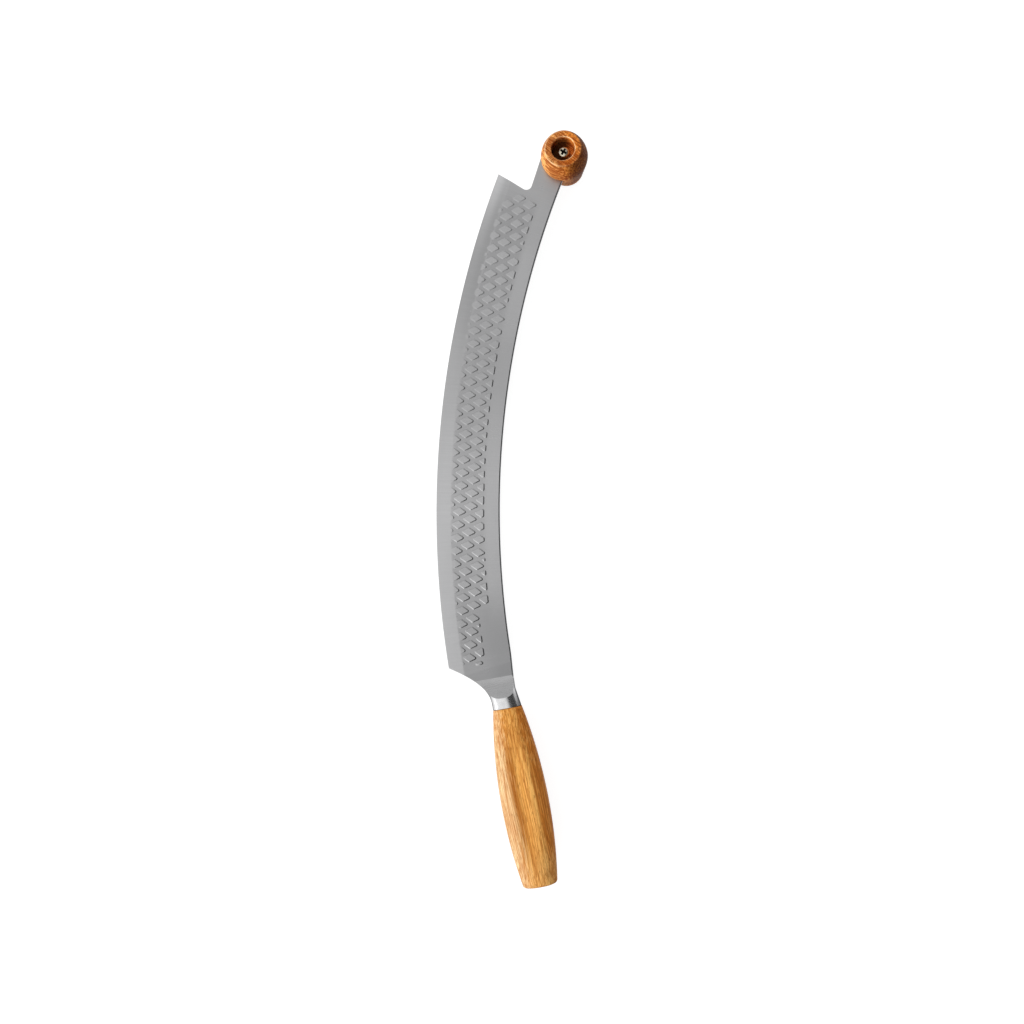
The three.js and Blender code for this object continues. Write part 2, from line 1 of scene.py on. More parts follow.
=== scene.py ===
import json
import math

import bmesh
import bpy
from mathutils import Matrix, Vector
from mathutils.geometry import delaunay_2d_cdt


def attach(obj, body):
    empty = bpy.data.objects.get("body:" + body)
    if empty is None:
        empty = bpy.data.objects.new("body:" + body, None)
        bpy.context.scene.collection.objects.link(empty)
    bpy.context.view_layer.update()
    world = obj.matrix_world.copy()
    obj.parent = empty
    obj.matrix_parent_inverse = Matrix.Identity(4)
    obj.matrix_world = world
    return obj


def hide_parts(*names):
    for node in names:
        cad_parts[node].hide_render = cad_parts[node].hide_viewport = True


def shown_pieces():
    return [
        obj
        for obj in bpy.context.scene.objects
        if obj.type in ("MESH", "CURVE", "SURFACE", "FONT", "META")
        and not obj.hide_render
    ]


# A pizza and cheese knife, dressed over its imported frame. Sizes are in millimetres in the blade's own
# frame: the middle of the cutting edge at the origin, +X towards the spine, +Y towards the knob and Z
# square to the faces. A piece's matrix carries its points, in metres, into the row's frame.
MM = 0.001

# Blade
EDGE_RADIUS = 626.0
EDGE_TO_TIP = 223.5
EDGE_TO_HEEL = 107.3
BLADE_WIDTH = 41.8
FACE_HEIGHT = 1.25
BEVEL_WIDTH = 9.5
BEVEL_FOOT = 0.15
EDGE_FOOT = 0.05
EDGE_GRIND = 0.7
SPINE_ROUND = 0.75
SIDE_ROUND = 0.16
FLAT_STRIP = 0.1
BEVEL_SOFTNESS = 0.09

# Step at the tip, neck and tab
NOTCH_SETBACK = 5.6
NOTCH_RADIUS = 3.6
NECK_ROOT_WIDTH = 17.7
NECK_END_WIDTH = 19.5
TAB_REACH = 9.0

# Diamond relief
DIAMOND_PITCH = 8.532
DIAMOND_TURN = math.radians(-4.39)
DIAMOND_FLATS = 5.65
DIAMOND_WALL = 0.78
DIAMOND_WALL_ROUND = 0.2
DIAMOND_CORNER = 1.1
DIAMOND_HEEL_HEIGHT = 0.31
DIAMOND_TIP_HEIGHT = 0.13
DIAMOND_START = Vector((18.56, 37.67))
SPINE_MARGIN = 10.0
HEEL_SPINE_MARGIN = 17.0
HEEL_PLAIN_LENGTH = 36.0
TIP_MARGIN = 4.0
PAST_HEEL = 1.1
SMALLEST_CORE = 0.25
CORNER_STEP = 0.05
LATTICE_REACH = 60
CREASE_PAST_HEEL = 20.0
CREASE_PAST_TIP = 12.0

# Painted reflection: how bright the ground steel is painted from place to place along the blade in metres,
# standing in for its changing reflections
FACE_PAINTED_REFLECTION = (
    (-0.120, 0.84), (-0.085, 0.84), (-0.060, 0.94), (-0.025, 1.02), (0.000, 1.10), (0.030, 1.03),
    (0.065, 0.93), (0.115, 0.92), (0.155, 1.08), (0.185, 1.03), (0.230, 1.00),
)
INNER_BEVEL_PAINTED_REFLECTION = (
    (-0.120, 1.00), (-0.060, 1.03), (-0.015, 1.12), (0.020, 1.12), (0.060, 1.03), (0.095, 0.94),
    (0.125, 0.83), (0.160, 0.80), (0.195, 0.83), (0.210, 0.98), (0.230, 1.12),
)
OUTER_BEVEL_PAINTED_REFLECTION = (
    (-0.120, 1.02), (-0.060, 1.06), (-0.015, 1.13), (0.020, 1.11), (0.060, 1.03), (0.095, 1.00),
    (0.130, 0.88), (0.160, 0.88), (0.190, 1.02), (0.210, 1.28), (0.230, 1.50),
)

# Heel sweep and collar
HEEL_RAKE = math.radians(30.5)
HEEL_PULL = 19.0
COLLAR_PULL = 9.0
COLLAR_LENGTH = 4.0
JOINT_PAST_HEEL = 32.4
JOINT_FROM_EDGE = 32.9
HANDLE_TURN = math.radians(1.6)
JOINT_WIDTH = 18.6
JOINT_DEPTH = 14.0
JOINT_SQUARENESS = 2.5
COLLAR_WAIST = 14.6
COLLAR_WAIST_AHEAD = 12.1
WAIST_SOFTNESS = 2.0
SCOOP_RADIUS = 20.0
SCOOP_AHEAD = 21.0
SCOOP_FOOT_AHEAD = 0.6
SCOOP_FOOT_SUNK = 0.04
SCOOP_FOOT_RUN = 2.0
SCOOP_ROW_SPREAD = 0.8
COLLAR_LIP = 0.25
HANDOVER = 5.0
SPINE_END_BEFORE_HEEL = 2.0
HIDDEN_INSET = 0.25
HIDDEN_INSET_START = 1.0
HIDDEN_INSET_RUN = 4.0

# Tang
TANG_WIDTH = 7.0
TANG_LENGTH = 75.0
TANG_SHOULDER_AHEAD = 0.3

# Handle
HANDLE_LENGTH = 114.0
HANDLE_GAP = 0.12
HANDLE_LIP = 0.2
BELLY_FROM_JOINT = 62.0
BELLY_WIDTH = 30.5
BELLY_DEPTH = 25.6
BELLY_SQUARENESS = 2.3
BUTT_WIDTH = 21.7
BUTT_DEPTH = 19.0
BUTT_ROUND = 1.2
BUTT_DOME = 0.8
BUTT_FACE_SHARE = 0.98
HOLLOW_DEPTH = 1.7
HOLLOW_FROM_JOINT = 59.0
HOLLOW_LENGTH = 92.0
HOLLOW_LEFT = -0.48
HOLLOW_BOTTOM = -0.02
HOLLOW_RIGHT = 0.68

# Knob and screw
KNOB_PAST_TIP = 25.1
KNOB_FROM_SPINE = 4.3
KNOB_FRONT = 18.75
KNOB_BACK = 21.0
KNOB_GIRTH = 31.0
KNOB_GIRTH_HEIGHT = 3.0
KNOB_FRONT_END = 23.6
KNOB_BACK_END = 22.4
KNOB_ROUND = 0.6
KNOB_INSET = 0.12
KNOB_GIRTH_BAND = 0.8
KNOB_RIM_HEIGHT = 1.2
COUNTERBORE = 15.3
COUNTERBORE_DEPTH = 9.0
COUNTERBORE_ROUND = 0.6
COUNTERBORE_FLOOR_ROUND = 0.5
SCREW_HOLE_SHOWN = 4.0
NEAR_AXIS = 0.01
SCREW_DIAMETER = 4.0
SCREW_REACH = 22.0
SCREW_POINT = 3.0
SCREW_NECK = 0.3
SCREW_SEAT_GAP = 0.02
SCREW_SHANK_GAP = 0.05
SCREW_HEAD = 7.4
SCREW_HEAD_HEIGHT = 3.1
SCREW_HEAD_WALL = 1.3
SCREW_HEAD_EDGE = 0.15
SCREW_SQUARENESS = 3.6
RECESS_SPAN = 4.8
RECESS_WIDTH = 1.5
RECESS_DEPTH = 1.7
RECESS_MOUTH_SHARE = 1.12
RECESS_FLOOR_SHARE = 0.45
RECESS_CUT_ABOVE = 0.4
RECESS_TURN = math.radians(-33.0)
KNOB_GRAIN = math.radians(38.0)

# Where the record's two mounts lie in the blade's frame, which sets that frame in the row's frame
RACK_ALONG = 20.0
RACK_INWARD = BLADE_WIDTH - 5.0
KNOB_RING_RADIUS = 9.6

# Angles in degrees past which an edge is drawn sharp
SHARP_ANGLE = 40.0
BOLSTER_SHARP_ANGLE = 18.0
KNOB_SHARP_ANGLE = 50.0
SCREW_SHARP_ANGLE = 35.0

# Oak of the handle. The left, lit, flank and valley colours and the pale grain's left copy carry painted
# light and shade; the valley is also darker grain
OAK_LIT_LEFT = (0.78, 0.54, 0.28)
OAK = (0.86, 0.42, 0.10)
OAK_LIT = (1.0, 0.56, 0.16)
OAK_SHADED_FLANK = (0.78, 0.23, 0.026)
OAK_VALLEY_GRAIN_AND_SHADE = (0.60, 0.18, 0.022)
OAK_BUTT = (1.0, 0.58, 0.20)
OAK_BROAD = (0.66, 0.23, 0.03)
OAK_FINE = (0.50, 0.145, 0.016)
OAK_PALE_LIT_LEFT = (0.93, 0.68, 0.38)
OAK_PALE = (0.98, 0.52, 0.15)
OAK_THIN = (0.44, 0.13, 0.016)
OAK_PORE = (0.34, 0.09, 0.012)

# Oiled wood of the knob; the pale, shaded, inside and rim colours carry painted light and shade
KNOB_LIT_PALE = (1.0, 0.47, 0.15)
KNOB_BROWN = (0.82, 0.25, 0.036)
KNOB_PATCH = (0.38, 0.075, 0.008)
KNOB_FINE_DARK = (0.26, 0.055, 0.007)
KNOB_FINE_PALE = (1.0, 0.46, 0.13)
KNOB_HATCH = (0.22, 0.045, 0.006)
KNOB_PORE = (0.10, 0.025, 0.005)
KNOB_SHADED = (0.105, 0.021, 0.001)
KNOB_INSIDE_SHADE = (0.045, 0.010, 0.002)
KNOB_RIM_GLINT = (1.0, 0.68, 0.36)

NOISE_ROUGHNESS = 0.55

# Camera, in the blade's frame
EYE = Vector((132.48, -45.48, 733.81))
AIM = Vector((49.8, -5.1, 0.0))
LENS = 40.0
SENSOR = 36.0

# The floor's white glow, the same to the camera, in the steel and through glass, and its paint
FLOOR_SEEN = 0.9
FLOOR_PAINT = (0.3, 0.3, 0.3, 1)

# Floor and lamp, in metres in the row's frame
FLOOR_REACH = 6.0
FLOOR_DROP = 0.0002
LAMP_PLACE = Vector((-1.4, -0.35, 0.36))
LAMP_TARGET = Vector((0, 0, 0.02))
LAMP_SIZE = (1.2, 0.7)
LAMP_POWER = 13.0

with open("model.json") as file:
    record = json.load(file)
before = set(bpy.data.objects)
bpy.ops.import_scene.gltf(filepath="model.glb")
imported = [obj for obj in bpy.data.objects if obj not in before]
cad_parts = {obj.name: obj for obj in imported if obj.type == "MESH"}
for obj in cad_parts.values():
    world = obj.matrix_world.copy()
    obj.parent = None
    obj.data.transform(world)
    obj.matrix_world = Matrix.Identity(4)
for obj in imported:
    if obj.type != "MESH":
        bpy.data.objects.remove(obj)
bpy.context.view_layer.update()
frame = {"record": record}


# Places on the blade and about the handle

def blade_point(along, inward):
    angle = along / EDGE_RADIUS
    radius = EDGE_RADIUS - inward
    return Vector((EDGE_RADIUS - radius * math.cos(angle), radius * math.sin(angle)))


def along_inward(point):
    inward = EDGE_RADIUS - math.hypot(EDGE_RADIUS - point.x, point.y)
    along = EDGE_RADIUS * math.atan2(point.y, EDGE_RADIUS - point.x)
    return along, inward


def turned(vector, angle):
    return Matrix.Rotation(angle, 2) @ vector


knob_along = EDGE_TO_TIP + KNOB_PAST_TIP
knob_centre = blade_point(knob_along, BLADE_WIDTH - KNOB_FROM_SPINE)
joint_along = -(EDGE_TO_HEEL + JOINT_PAST_HEEL)
joint_centre = blade_point(joint_along, JOINT_FROM_EDGE)
handle_angle = -joint_along / EDGE_RADIUS - HANDLE_TURN
counterbore_floor = KNOB_FRONT - COUNTERBORE_DEPTH


def handle_point(across, back):
    return turned(Vector((across, -back)), handle_angle) + joint_centre


def about_handle(point):
    local = turned(point - joint_centre, -handle_angle)
    return local.x, -local.y


# Frames of the pieces in the row

def axes_from(origin, normal, towards):
    z = normal.normalized()
    x = towards - origin
    x = (x - z * x.dot(z)).normalized()
    matrix = Matrix((x, z.cross(x), z)).transposed().to_4x4()
    matrix.translation = origin
    return matrix


def blade_frame():
    mounts = {mount["name"]: mount for mount in frame["record"]["mounts"]}
    rack, ring = mounts["rack_face"], mounts["knob_end"]
    in_row = axes_from(Vector(rack["pos_m"]), Vector(rack["axis"]), Vector(ring["pos_m"]))
    rack_point = blade_point(RACK_ALONG, RACK_INWARD).to_3d() + Vector((0, 0, FACE_HEIGHT))
    ring_point = knob_centre.to_3d() + Vector((KNOB_RING_RADIUS, 0, KNOB_FRONT))
    on_blade = axes_from(rack_point * MM, Vector((0, 0, 1)), ring_point * MM)
    return in_row @ on_blade.inverted()


blade_matrix = blade_frame()
handle_matrix = (
    blade_matrix
    @ Matrix.Translation(joint_centre.to_3d() * MM)
    @ Matrix.Rotation(handle_angle, 4, "Z")
)
knob_matrix = blade_matrix @ Matrix.Translation(knob_centre.to_3d() * MM)


# Meshes

def smoothstep(value):
    t = min(max(value, 0.0), 1.0)
    return t * t * (3 - 2 * t)


def lerp(a, b, t):
    return a + (b - a) * t


def add_object(name, data):
    thing = bpy.data.objects.new(name, data)
    bpy.context.scene.collection.objects.link(thing)
    return thing


def make_piece(name, points, faces, matrix, materials, sharp_angle=SHARP_ANGLE, kinds=None, layers=None):
    mesh = bpy.data.meshes.new(name)
    mesh.from_pydata([matrix @ (Vector(p) * MM) for p in points], [], faces)
    for material in materials:
        mesh.materials.append(material)
    if kinds:
        mesh.polygons.foreach_set("material_index", kinds)
    for layer_name, places in (layers or {}).items():
        layer = mesh.uv_layers.new(name=layer_name)
        for loop in mesh.loops:
            layer.data[loop.index].uv = places[loop.vertex_index]
    tool = bmesh.new()
    tool.from_mesh(mesh)
    bmesh.ops.remove_doubles(tool, verts=tool.verts, dist=1e-7)
    bmesh.ops.recalc_face_normals(tool, faces=tool.faces)
    tool.to_mesh(mesh)
    tool.free()
    mesh.shade_smooth()
    mesh.set_sharp_from_angle(angle=math.radians(sharp_angle))
    return add_object(name, mesh)


def settle(piece, node):
    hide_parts(node)
    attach(piece, "root")


def grid_faces(rows, columns):
    faces = []
    for row in range(rows - 1):
        for column in range(columns):
            after = (column + 1) % columns
            faces.append((
                row * columns + column,
                row * columns + after,
                (row + 1) * columns + after,
                (row + 1) * columns + column,
            ))
    return faces


def capped_faces(rows, columns):
    first = tuple(range(columns))
    last = tuple(reversed(range((rows - 1) * columns, rows * columns)))
    return grid_faces(rows, columns) + [first, last]


def revolve(profile, steps):
    points = []
    for radius, height in profile:
        for k in range(steps):
            angle = 2 * math.pi * k / steps
            points.append((radius * math.cos(angle), radius * math.sin(angle), height))
    return points, grid_faces(len(profile), steps)


# Blade: outline

def bezier(p0, p1, p2, p3, t):
    s = 1 - t
    return p0 * s ** 3 + p1 * (3 * s * s * t) + p2 * (3 * s * t * t) + p3 * t ** 3


def heel_sweep(t):
    heel = blade_point(-EDGE_TO_HEEL, 0)
    start = (blade_point(-EDGE_TO_HEEL, 1) - heel).normalized()
    start = turned(start, -HEEL_RAKE)
    side = -JOINT_WIDTH / 2
    return bezier(
        heel,
        heel + start * HEEL_PULL,
        handle_point(side, -COLLAR_LENGTH - COLLAR_PULL),
        handle_point(side, -COLLAR_LENGTH),
        t,
    )


def collar_left(back):
    if back >= -COLLAR_LENGTH:
        return -JOINT_WIDTH / 2
    near, far = 0.0, 1.0
    for _ in range(40):
        middle = (near + far) / 2
        if about_handle(heel_sweep(middle))[1] < back:
            near = middle
        else:
            far = middle
    return about_handle(heel_sweep(near))[0]


spine_end_across, spine_end_back = about_handle(
    blade_point(-EDGE_TO_HEEL + SPINE_END_BEFORE_HEEL, BLADE_WIDTH)
)


def collar_right(back):
    waist = COLLAR_WAIST / 2
    ahead = (waist - spine_end_across) / (-COLLAR_WAIST_AHEAD - spine_end_back)
    behind = (JOINT_WIDTH / 2 - waist) / COLLAR_WAIST_AHEAD
    run = back + COLLAR_WAIST_AHEAD
    soft = math.sqrt(run * run + WAIST_SOFTNESS ** 2) - WAIST_SOFTNESS * 0.5
    return waist + run * (ahead + behind) / 2 + soft * (behind - ahead) / 2


def hidden_inset(back):
    return HIDDEN_INSET * smoothstep((back + SCOOP_AHEAD - HIDDEN_INSET_START) / HIDDEN_INSET_RUN)


def arc_points(radius, start, end, steps):
    centre = Vector((EDGE_RADIUS, 0))
    points = []
    for k in range(steps + 1):
        angle = lerp(start, end, k / steps) / EDGE_RADIUS
        points.append(centre + Vector((-radius * math.cos(angle), radius * math.sin(angle))))
    return points


def fillet(before, corner, after, radius, steps):
    into = (before - corner).normalized()
    out = (after - corner).normalized()
    half_angle = math.acos(into.dot(out)) / 2
    centre = corner + (into + out).normalized() * (radius / math.sin(half_angle))
    start = corner + into * (radius / math.tan(half_angle)) - centre
    sweep = math.pi - 2 * half_angle
    if into.cross(out) > 0:
        sweep = -sweep
    return [centre + turned(start, sweep * k / steps) for k in range(steps + 1)]


def subdivided(a, b, steps):
    return [a.lerp(b, k / steps) for k in range(steps)]


# The outline runs clockwise seen from the front: tip, notch, neck, tab, spine, collar, tang, heel, edge.
# Each stretch has the width and depth of its edge's rounding, and says whether that is ground flat.
def blade_outline():
    tip = blade_point(EDGE_TO_TIP, 0)
    notch = blade_point(EDGE_TO_TIP - NOTCH_SETBACK, BLADE_WIDTH - NECK_ROOT_WIDTH)
    neck_end = blade_point(knob_along, BLADE_WIDTH - NECK_END_WIDTH)
    spine_start = blade_point(knob_along, BLADE_WIDTH)
    spine_radius = EDGE_RADIUS - BLADE_WIDTH
    side = (SIDE_ROUND, SIDE_ROUND, False)
    spine = (SPINE_ROUND, SPINE_ROUND, False)
    bevel_foot = bevel_height(EDGE_GRIND)
    edge = (EDGE_GRIND, bevel_foot - EDGE_FOOT, True)
    stretches = []
    round_notch = fillet(tip, notch, neck_end, NOTCH_RADIUS, 14)
    stretches.append((subdivided(tip, round_notch[0], 8) + round_notch, side))
    stretches.append((subdivided(round_notch[-1], neck_end, 6)[1:], side))
    middle = neck_end.lerp(spine_start, 0.5)
    reach = spine_start - middle
    ahead = turned(reach.normalized(), math.pi / 2) * TAB_REACH
    tab = []
    for k in range(17):
        angle = math.pi * (1 - k / 16)
        tab.append(middle + reach * math.cos(angle) + ahead * math.sin(angle))
    stretches.append((tab, side))
    spine_end = -EDGE_TO_HEEL + SPINE_END_BEFORE_HEEL
    stretches.append((arc_points(spine_radius, knob_along, spine_end, 120)[1:-1], spine))
    collar = []
    shoulder = -COLLAR_LENGTH - TANG_SHOULDER_AHEAD
    for k in range(25):
        back = lerp(spine_end_back, shoulder, k / 24)
        collar.append(handle_point(collar_right(back) - hidden_inset(back), back))
    stretches.append((collar, spine))
    tang_side = TANG_WIDTH / 2
    tang = [handle_point(tang_side, shoulder)]
    for k in range(13):
        angle = math.pi * k / 12
        back = TANG_LENGTH - tang_side * (1 - math.sin(angle))
        tang.append(handle_point(tang_side * math.cos(angle), back))
    tang.append(handle_point(-tang_side, shoulder))
    stretches.append((tang, side))
    heel = []
    for k in range(48):
        across, back = about_handle(heel_sweep(1 - k / 48))
        heel.append(handle_point(across + hidden_inset(back), min(back, shoulder)))
    stretches.append((heel, side))
    stretches.append((arc_points(EDGE_RADIUS, -EDGE_TO_HEEL, EDGE_TO_TIP, 150)[:-1], edge))
    points, rounding = [], []
    for stretch, kind in stretches:
        points.extend(stretch)
        rounding.extend([kind] * len(stretch))
    return points, rounding


# Every outline point moved in by its own share of its stretch's rounding
def moved_in(points, widths):
    count = len(points)
    moved = []
    for i in range(count):
        before = (points[i] - points[i - 1]).normalized()
        after = (points[(i + 1) % count] - points[i]).normalized()
        n0 = Vector((before.y, -before.x))
        n1 = Vector((after.y, -after.x))
        w0, w1 = widths[i - 1], widths[i]
        cross = n0.cross(n1)
        if abs(cross) < 0.1:
            moved.append(points[i] + (n0 + n1).normalized() * (w0 + w1) / 2)
        else:
            moved.append(points[i] + Vector(((w0 * n1.y - w1 * n0.y), (w1 * n0.x - w0 * n1.x))) / cross)
    return moved


# Blade: surface

def bevel_height(inward):
    return BEVEL_FOOT + (FACE_HEIGHT - BEVEL_FOOT) * inward / BEVEL_WIDTH


def cut_by(polygon, normal, reach):
    kept = []
    for k, point in enumerate(polygon):
        after = polygon[(k + 1) % len(polygon)]
        here = normal.dot(point) - reach
        there = normal.dot(after) - reach
        if here <= 0:
            kept.append(point)
        if here * there < 0:
            kept.append(point.lerp(after, here / (here - there)))
    return kept


def polygon_area(polygon):
    return sum(polygon[k - 1].cross(polygon[k]) for k in range(len(polygon))) / 2


# A diamond is a core polygon and the distance from it to the foot of the diamond's wall. It is cut short
# where the relief ends beside the spine and square across the heel.
def make_diamond(spot, last):
    along, inward = along_inward(spot)
    towards_spine = (Vector((EDGE_RADIUS, 0)) - spot).normalized()
    towards_heel = turned(towards_spine, -math.pi / 2)
    sides = []
    for angle in (math.pi / 3, -math.pi / 3, 2 * math.pi / 3, -2 * math.pi / 3):
        sides.append((turned(Vector((1, 0)), DIAMOND_TURN + angle), DIAMOND_FLATS / 2))
    if last - inward < DIAMOND_FLATS:
        sides.append((towards_spine, last - inward))
    to_end = along + EDGE_TO_HEEL + PAST_HEEL
    if to_end < DIAMOND_FLATS:
        sides.append((towards_heel, to_end))
    corner = DIAMOND_CORNER
    while corner > DIAMOND_WALL + FLAT_STRIP:
        reach = DIAMOND_PITCH
        core = [Vector((x * reach, y * reach)) for x, y in ((-1, -1), (1, -1), (1, 1), (-1, 1))]
        for normal, distance in sides:
            core = cut_by(core, normal, distance - corner)
        if polygon_area(core) > SMALLEST_CORE:
            return [spot + point for point in core], corner
        corner -= CORNER_STEP
    return None


def diamonds():
    rise = turned(Vector((DIAMOND_PITCH, 0)), DIAMOND_TURN + math.pi / 6)
    fall = turned(Vector((DIAMOND_PITCH, 0)), DIAMOND_TURN - math.pi / 6)
    narrowing = -EDGE_TO_HEEL + HEEL_PLAIN_LENGTH
    bands = (
        (SPINE_MARGIN, narrowing, EDGE_TO_TIP - NOTCH_SETBACK - TIP_MARGIN),
        (HEEL_SPINE_MARGIN, -EDGE_TO_HEEL - DIAMOND_FLATS / 2, narrowing),
    )
    found = {}
    for i in range(-LATTICE_REACH, LATTICE_REACH + 1):
        for j in range(-LATTICE_REACH, LATTICE_REACH + 1):
            spot = DIAMOND_START + rise * i + fall * j
            along, inward = along_inward(spot)
            for margin, start, end in bands:
                last = BLADE_WIDTH - margin
                if BEVEL_WIDTH - DIAMOND_FLATS < inward < last + DIAMOND_FLATS and start <= along < end:
                    diamond = make_diamond(spot, last)
                    if diamond:
                        found[i, j] = diamond
    return found, rise, fall


def diamond_height(along):
    share = (along + EDGE_TO_HEEL) / (EDGE_TO_TIP + EDGE_TO_HEEL)
    return lerp(DIAMOND_HEEL_HEIGHT, DIAMOND_TIP_HEIGHT, share)


# A straight slope from 0 to 1 with a rounded foot and lip
def wall_height(share):
    t = min(max(share, 0.0), 1.0)
    bend = DIAMOND_WALL_ROUND
    if t < bend:
        return t * t / (2 * bend * (1 - bend))
    if t > 1 - bend:
        return 1 - (1 - t) ** 2 / (2 * bend * (1 - bend))
    return (t - bend / 2) / (1 - bend)


def soft_min(a, b, reach):
    share = max(reach - abs(a - b), 0.0) / reach
    return min(a, b) - share * share * reach / 4


def distance_to(polygon, point):
    inside = True
    nearest = math.inf
    for k, start in enumerate(polygon):
        end = polygon[(k + 1) % len(polygon)]
        edge = end - start
        if edge.cross(point - start) < 0:
            inside = False
        share = min(max((point - start).dot(edge) / edge.length_squared, 0), 1)
        nearest = min(nearest, (start + edge * share - point).length)
    return 0.0 if inside else nearest


def diamond_ring(diamond, beyond, corner_steps=3):
    core, corner = diamond
    radius = corner + beyond
    ring = []
    for k, point in enumerate(core):
        before = (point - core[k - 1]).normalized()
        after = (core[(k + 1) % len(core)] - point).normalized()
        start = Vector((before.y, -before.x))
        sweep = start.angle_signed(Vector((after.y, -after.x)))
        for step in range(corner_steps + 1):
            ring.append(point + turned(start, -sweep * step / corner_steps) * radius)
    return ring


def make_blade(materials):
    points, rounding = blade_outline()
    pads, rise, fall = diamonds()
    lattice = Matrix((rise, fall)).transposed().inverted()

    def relief(point):
        place = lattice @ (point - DIAMOND_START)
        best = 0.0
        for i in (math.floor(place.x), math.floor(place.x) + 1):
            for j in (math.floor(place.y), math.floor(place.y) + 1):
                if (i, j) in pads:
                    core, corner = pads[i, j]
                    beyond = distance_to(core, point) - corner
                    best = max(best, wall_height(-beyond / DIAMOND_WALL))
        return best

    def surface(point):
        along, inward = along_inward(point)
        face = FACE_HEIGHT + relief(point) * diamond_height(along)
        return soft_min(face, bevel_height(inward), BEVEL_SOFTNESS)

    # The edge's rounding, ring by ring, from the outline to the flat
    ring_angles = [math.pi / 2 * k / 4 for k in range(5)]
    tops = moved_in(points, [kind[0] for kind in rounding])
    rings = []
    for angle in ring_angles:
        widths, drops = [], []
        for width, drop, ground in rounding:
            share = angle / (math.pi / 2) if ground else 1 - math.cos(angle)
            fall_share = 1 - share if ground else 1 - math.sin(angle)
            widths.append(width * share)
            drops.append(drop * fall_share)
        ring = moved_in(points, widths)
        rings.append([
            (p.x, p.y, surface(top) - min(drops[i], drops[i - 1]))
            for i, (p, top) in enumerate(zip(ring, tops))
        ])
    inner = moved_in(points, [kind[0] + FLAT_STRIP for kind in rounding])
    rings.append([(p.x, p.y, surface(p)) for p in inner])

    # The face inside the rounding, as one triangulation through every line that the shape has
    spots, lines = [], []

    def add_line(line, closed):
        first = len(spots)
        spots.extend(line)
        count = len(line)
        for k in range(count if closed else count - 1):
            lines.append((first + k, first + (k + 1) % count))

    add_line(inner, True)
    bevel_slope = (FACE_HEIGHT - BEVEL_FOOT) / BEVEL_WIDTH
    for raised in (0, 1):
        for share in (-1, -0.5, 0, 0.5, 1):
            crease = []
            for k in range(151):
                along = lerp(-EDGE_TO_HEEL - CREASE_PAST_HEEL, EDGE_TO_TIP + CREASE_PAST_TIP, k / 150)
                climb = raised * diamond_height(along) + share * BEVEL_SOFTNESS
                crease.append(blade_point(along, BEVEL_WIDTH + climb / bevel_slope))
            add_line(crease, False)
    bend, strip = DIAMOND_WALL_ROUND, FLAT_STRIP / DIAMOND_WALL
    shares = (-strip, 0, bend / 2, bend, 1 - bend, 1 - bend / 2, 1, 1 + strip)
    for pad in pads.values():
        for share in shares:
            add_line(diamond_ring(pad, -share * DIAMOND_WALL), True)
    whole = list(reversed(range(len(inner))))
    flat, _, triangles, _, _, owners = delaunay_2d_cdt(spots, lines, [whole], 0, 1e-4)
    triangles = [triangle for triangle, owner in zip(triangles, owners) if owner]

    vertices = [vertex for ring in rings for vertex in ring]
    count = len(points)
    faces = grid_faces(len(rings), count)
    used = sorted({k for triangle in triangles for k in triangle})
    numbers = {k: len(vertices) + n for n, k in enumerate(used)}
    vertices.extend((flat[k].x, flat[k].y, surface(flat[k])) for k in used)
    faces.extend(tuple(numbers[k] for k in triangle) for triangle in triangles)
    back_start = len(vertices)
    back = [(x, y, -z) for x, y, z in vertices]
    back_faces = [tuple(back_start + k for k in reversed(face)) for face in faces]
    walls = [
        (k, back_start + k, back_start + (k + 1) % count, (k + 1) % count)
        for k in range(count)
    ]
    everything = vertices + back
    flats = [Vector(point[:2]) for point in vertices]
    layers = {
        "places": [tuple(v * MM for v in along_inward(flat)) for flat in flats] * 2,
        "relief": [(relief(flat), 0.0) for flat in flats] * 2,
    }
    return make_piece(
        "blade_ground", everything, faces + back_faces + walls, blade_matrix, materials, layers=layers,
    )


# Bolster

def oval(angle, squareness):
    power = 2 / squareness
    across = math.copysign(abs(math.cos(angle)) ** power, math.cos(angle))
    rise = math.copysign(abs(math.sin(angle)) ** power, math.sin(angle))
    return across, rise


def scoop_height(back):
    run = min(max(back + SCOOP_AHEAD, 0), SCOOP_RADIUS)
    return FACE_HEIGHT + SCOOP_RADIUS - math.sqrt(SCOOP_RADIUS ** 2 - run ** 2)


# Where a line of the collar at this height meets the scoop
def scoop_crease(height):
    climb = min(max(height - FACE_HEIGHT, 0), SCOOP_RADIUS)
    return math.sqrt(SCOOP_RADIUS ** 2 - (SCOOP_RADIUS - climb) ** 2) - SCOOP_AHEAD


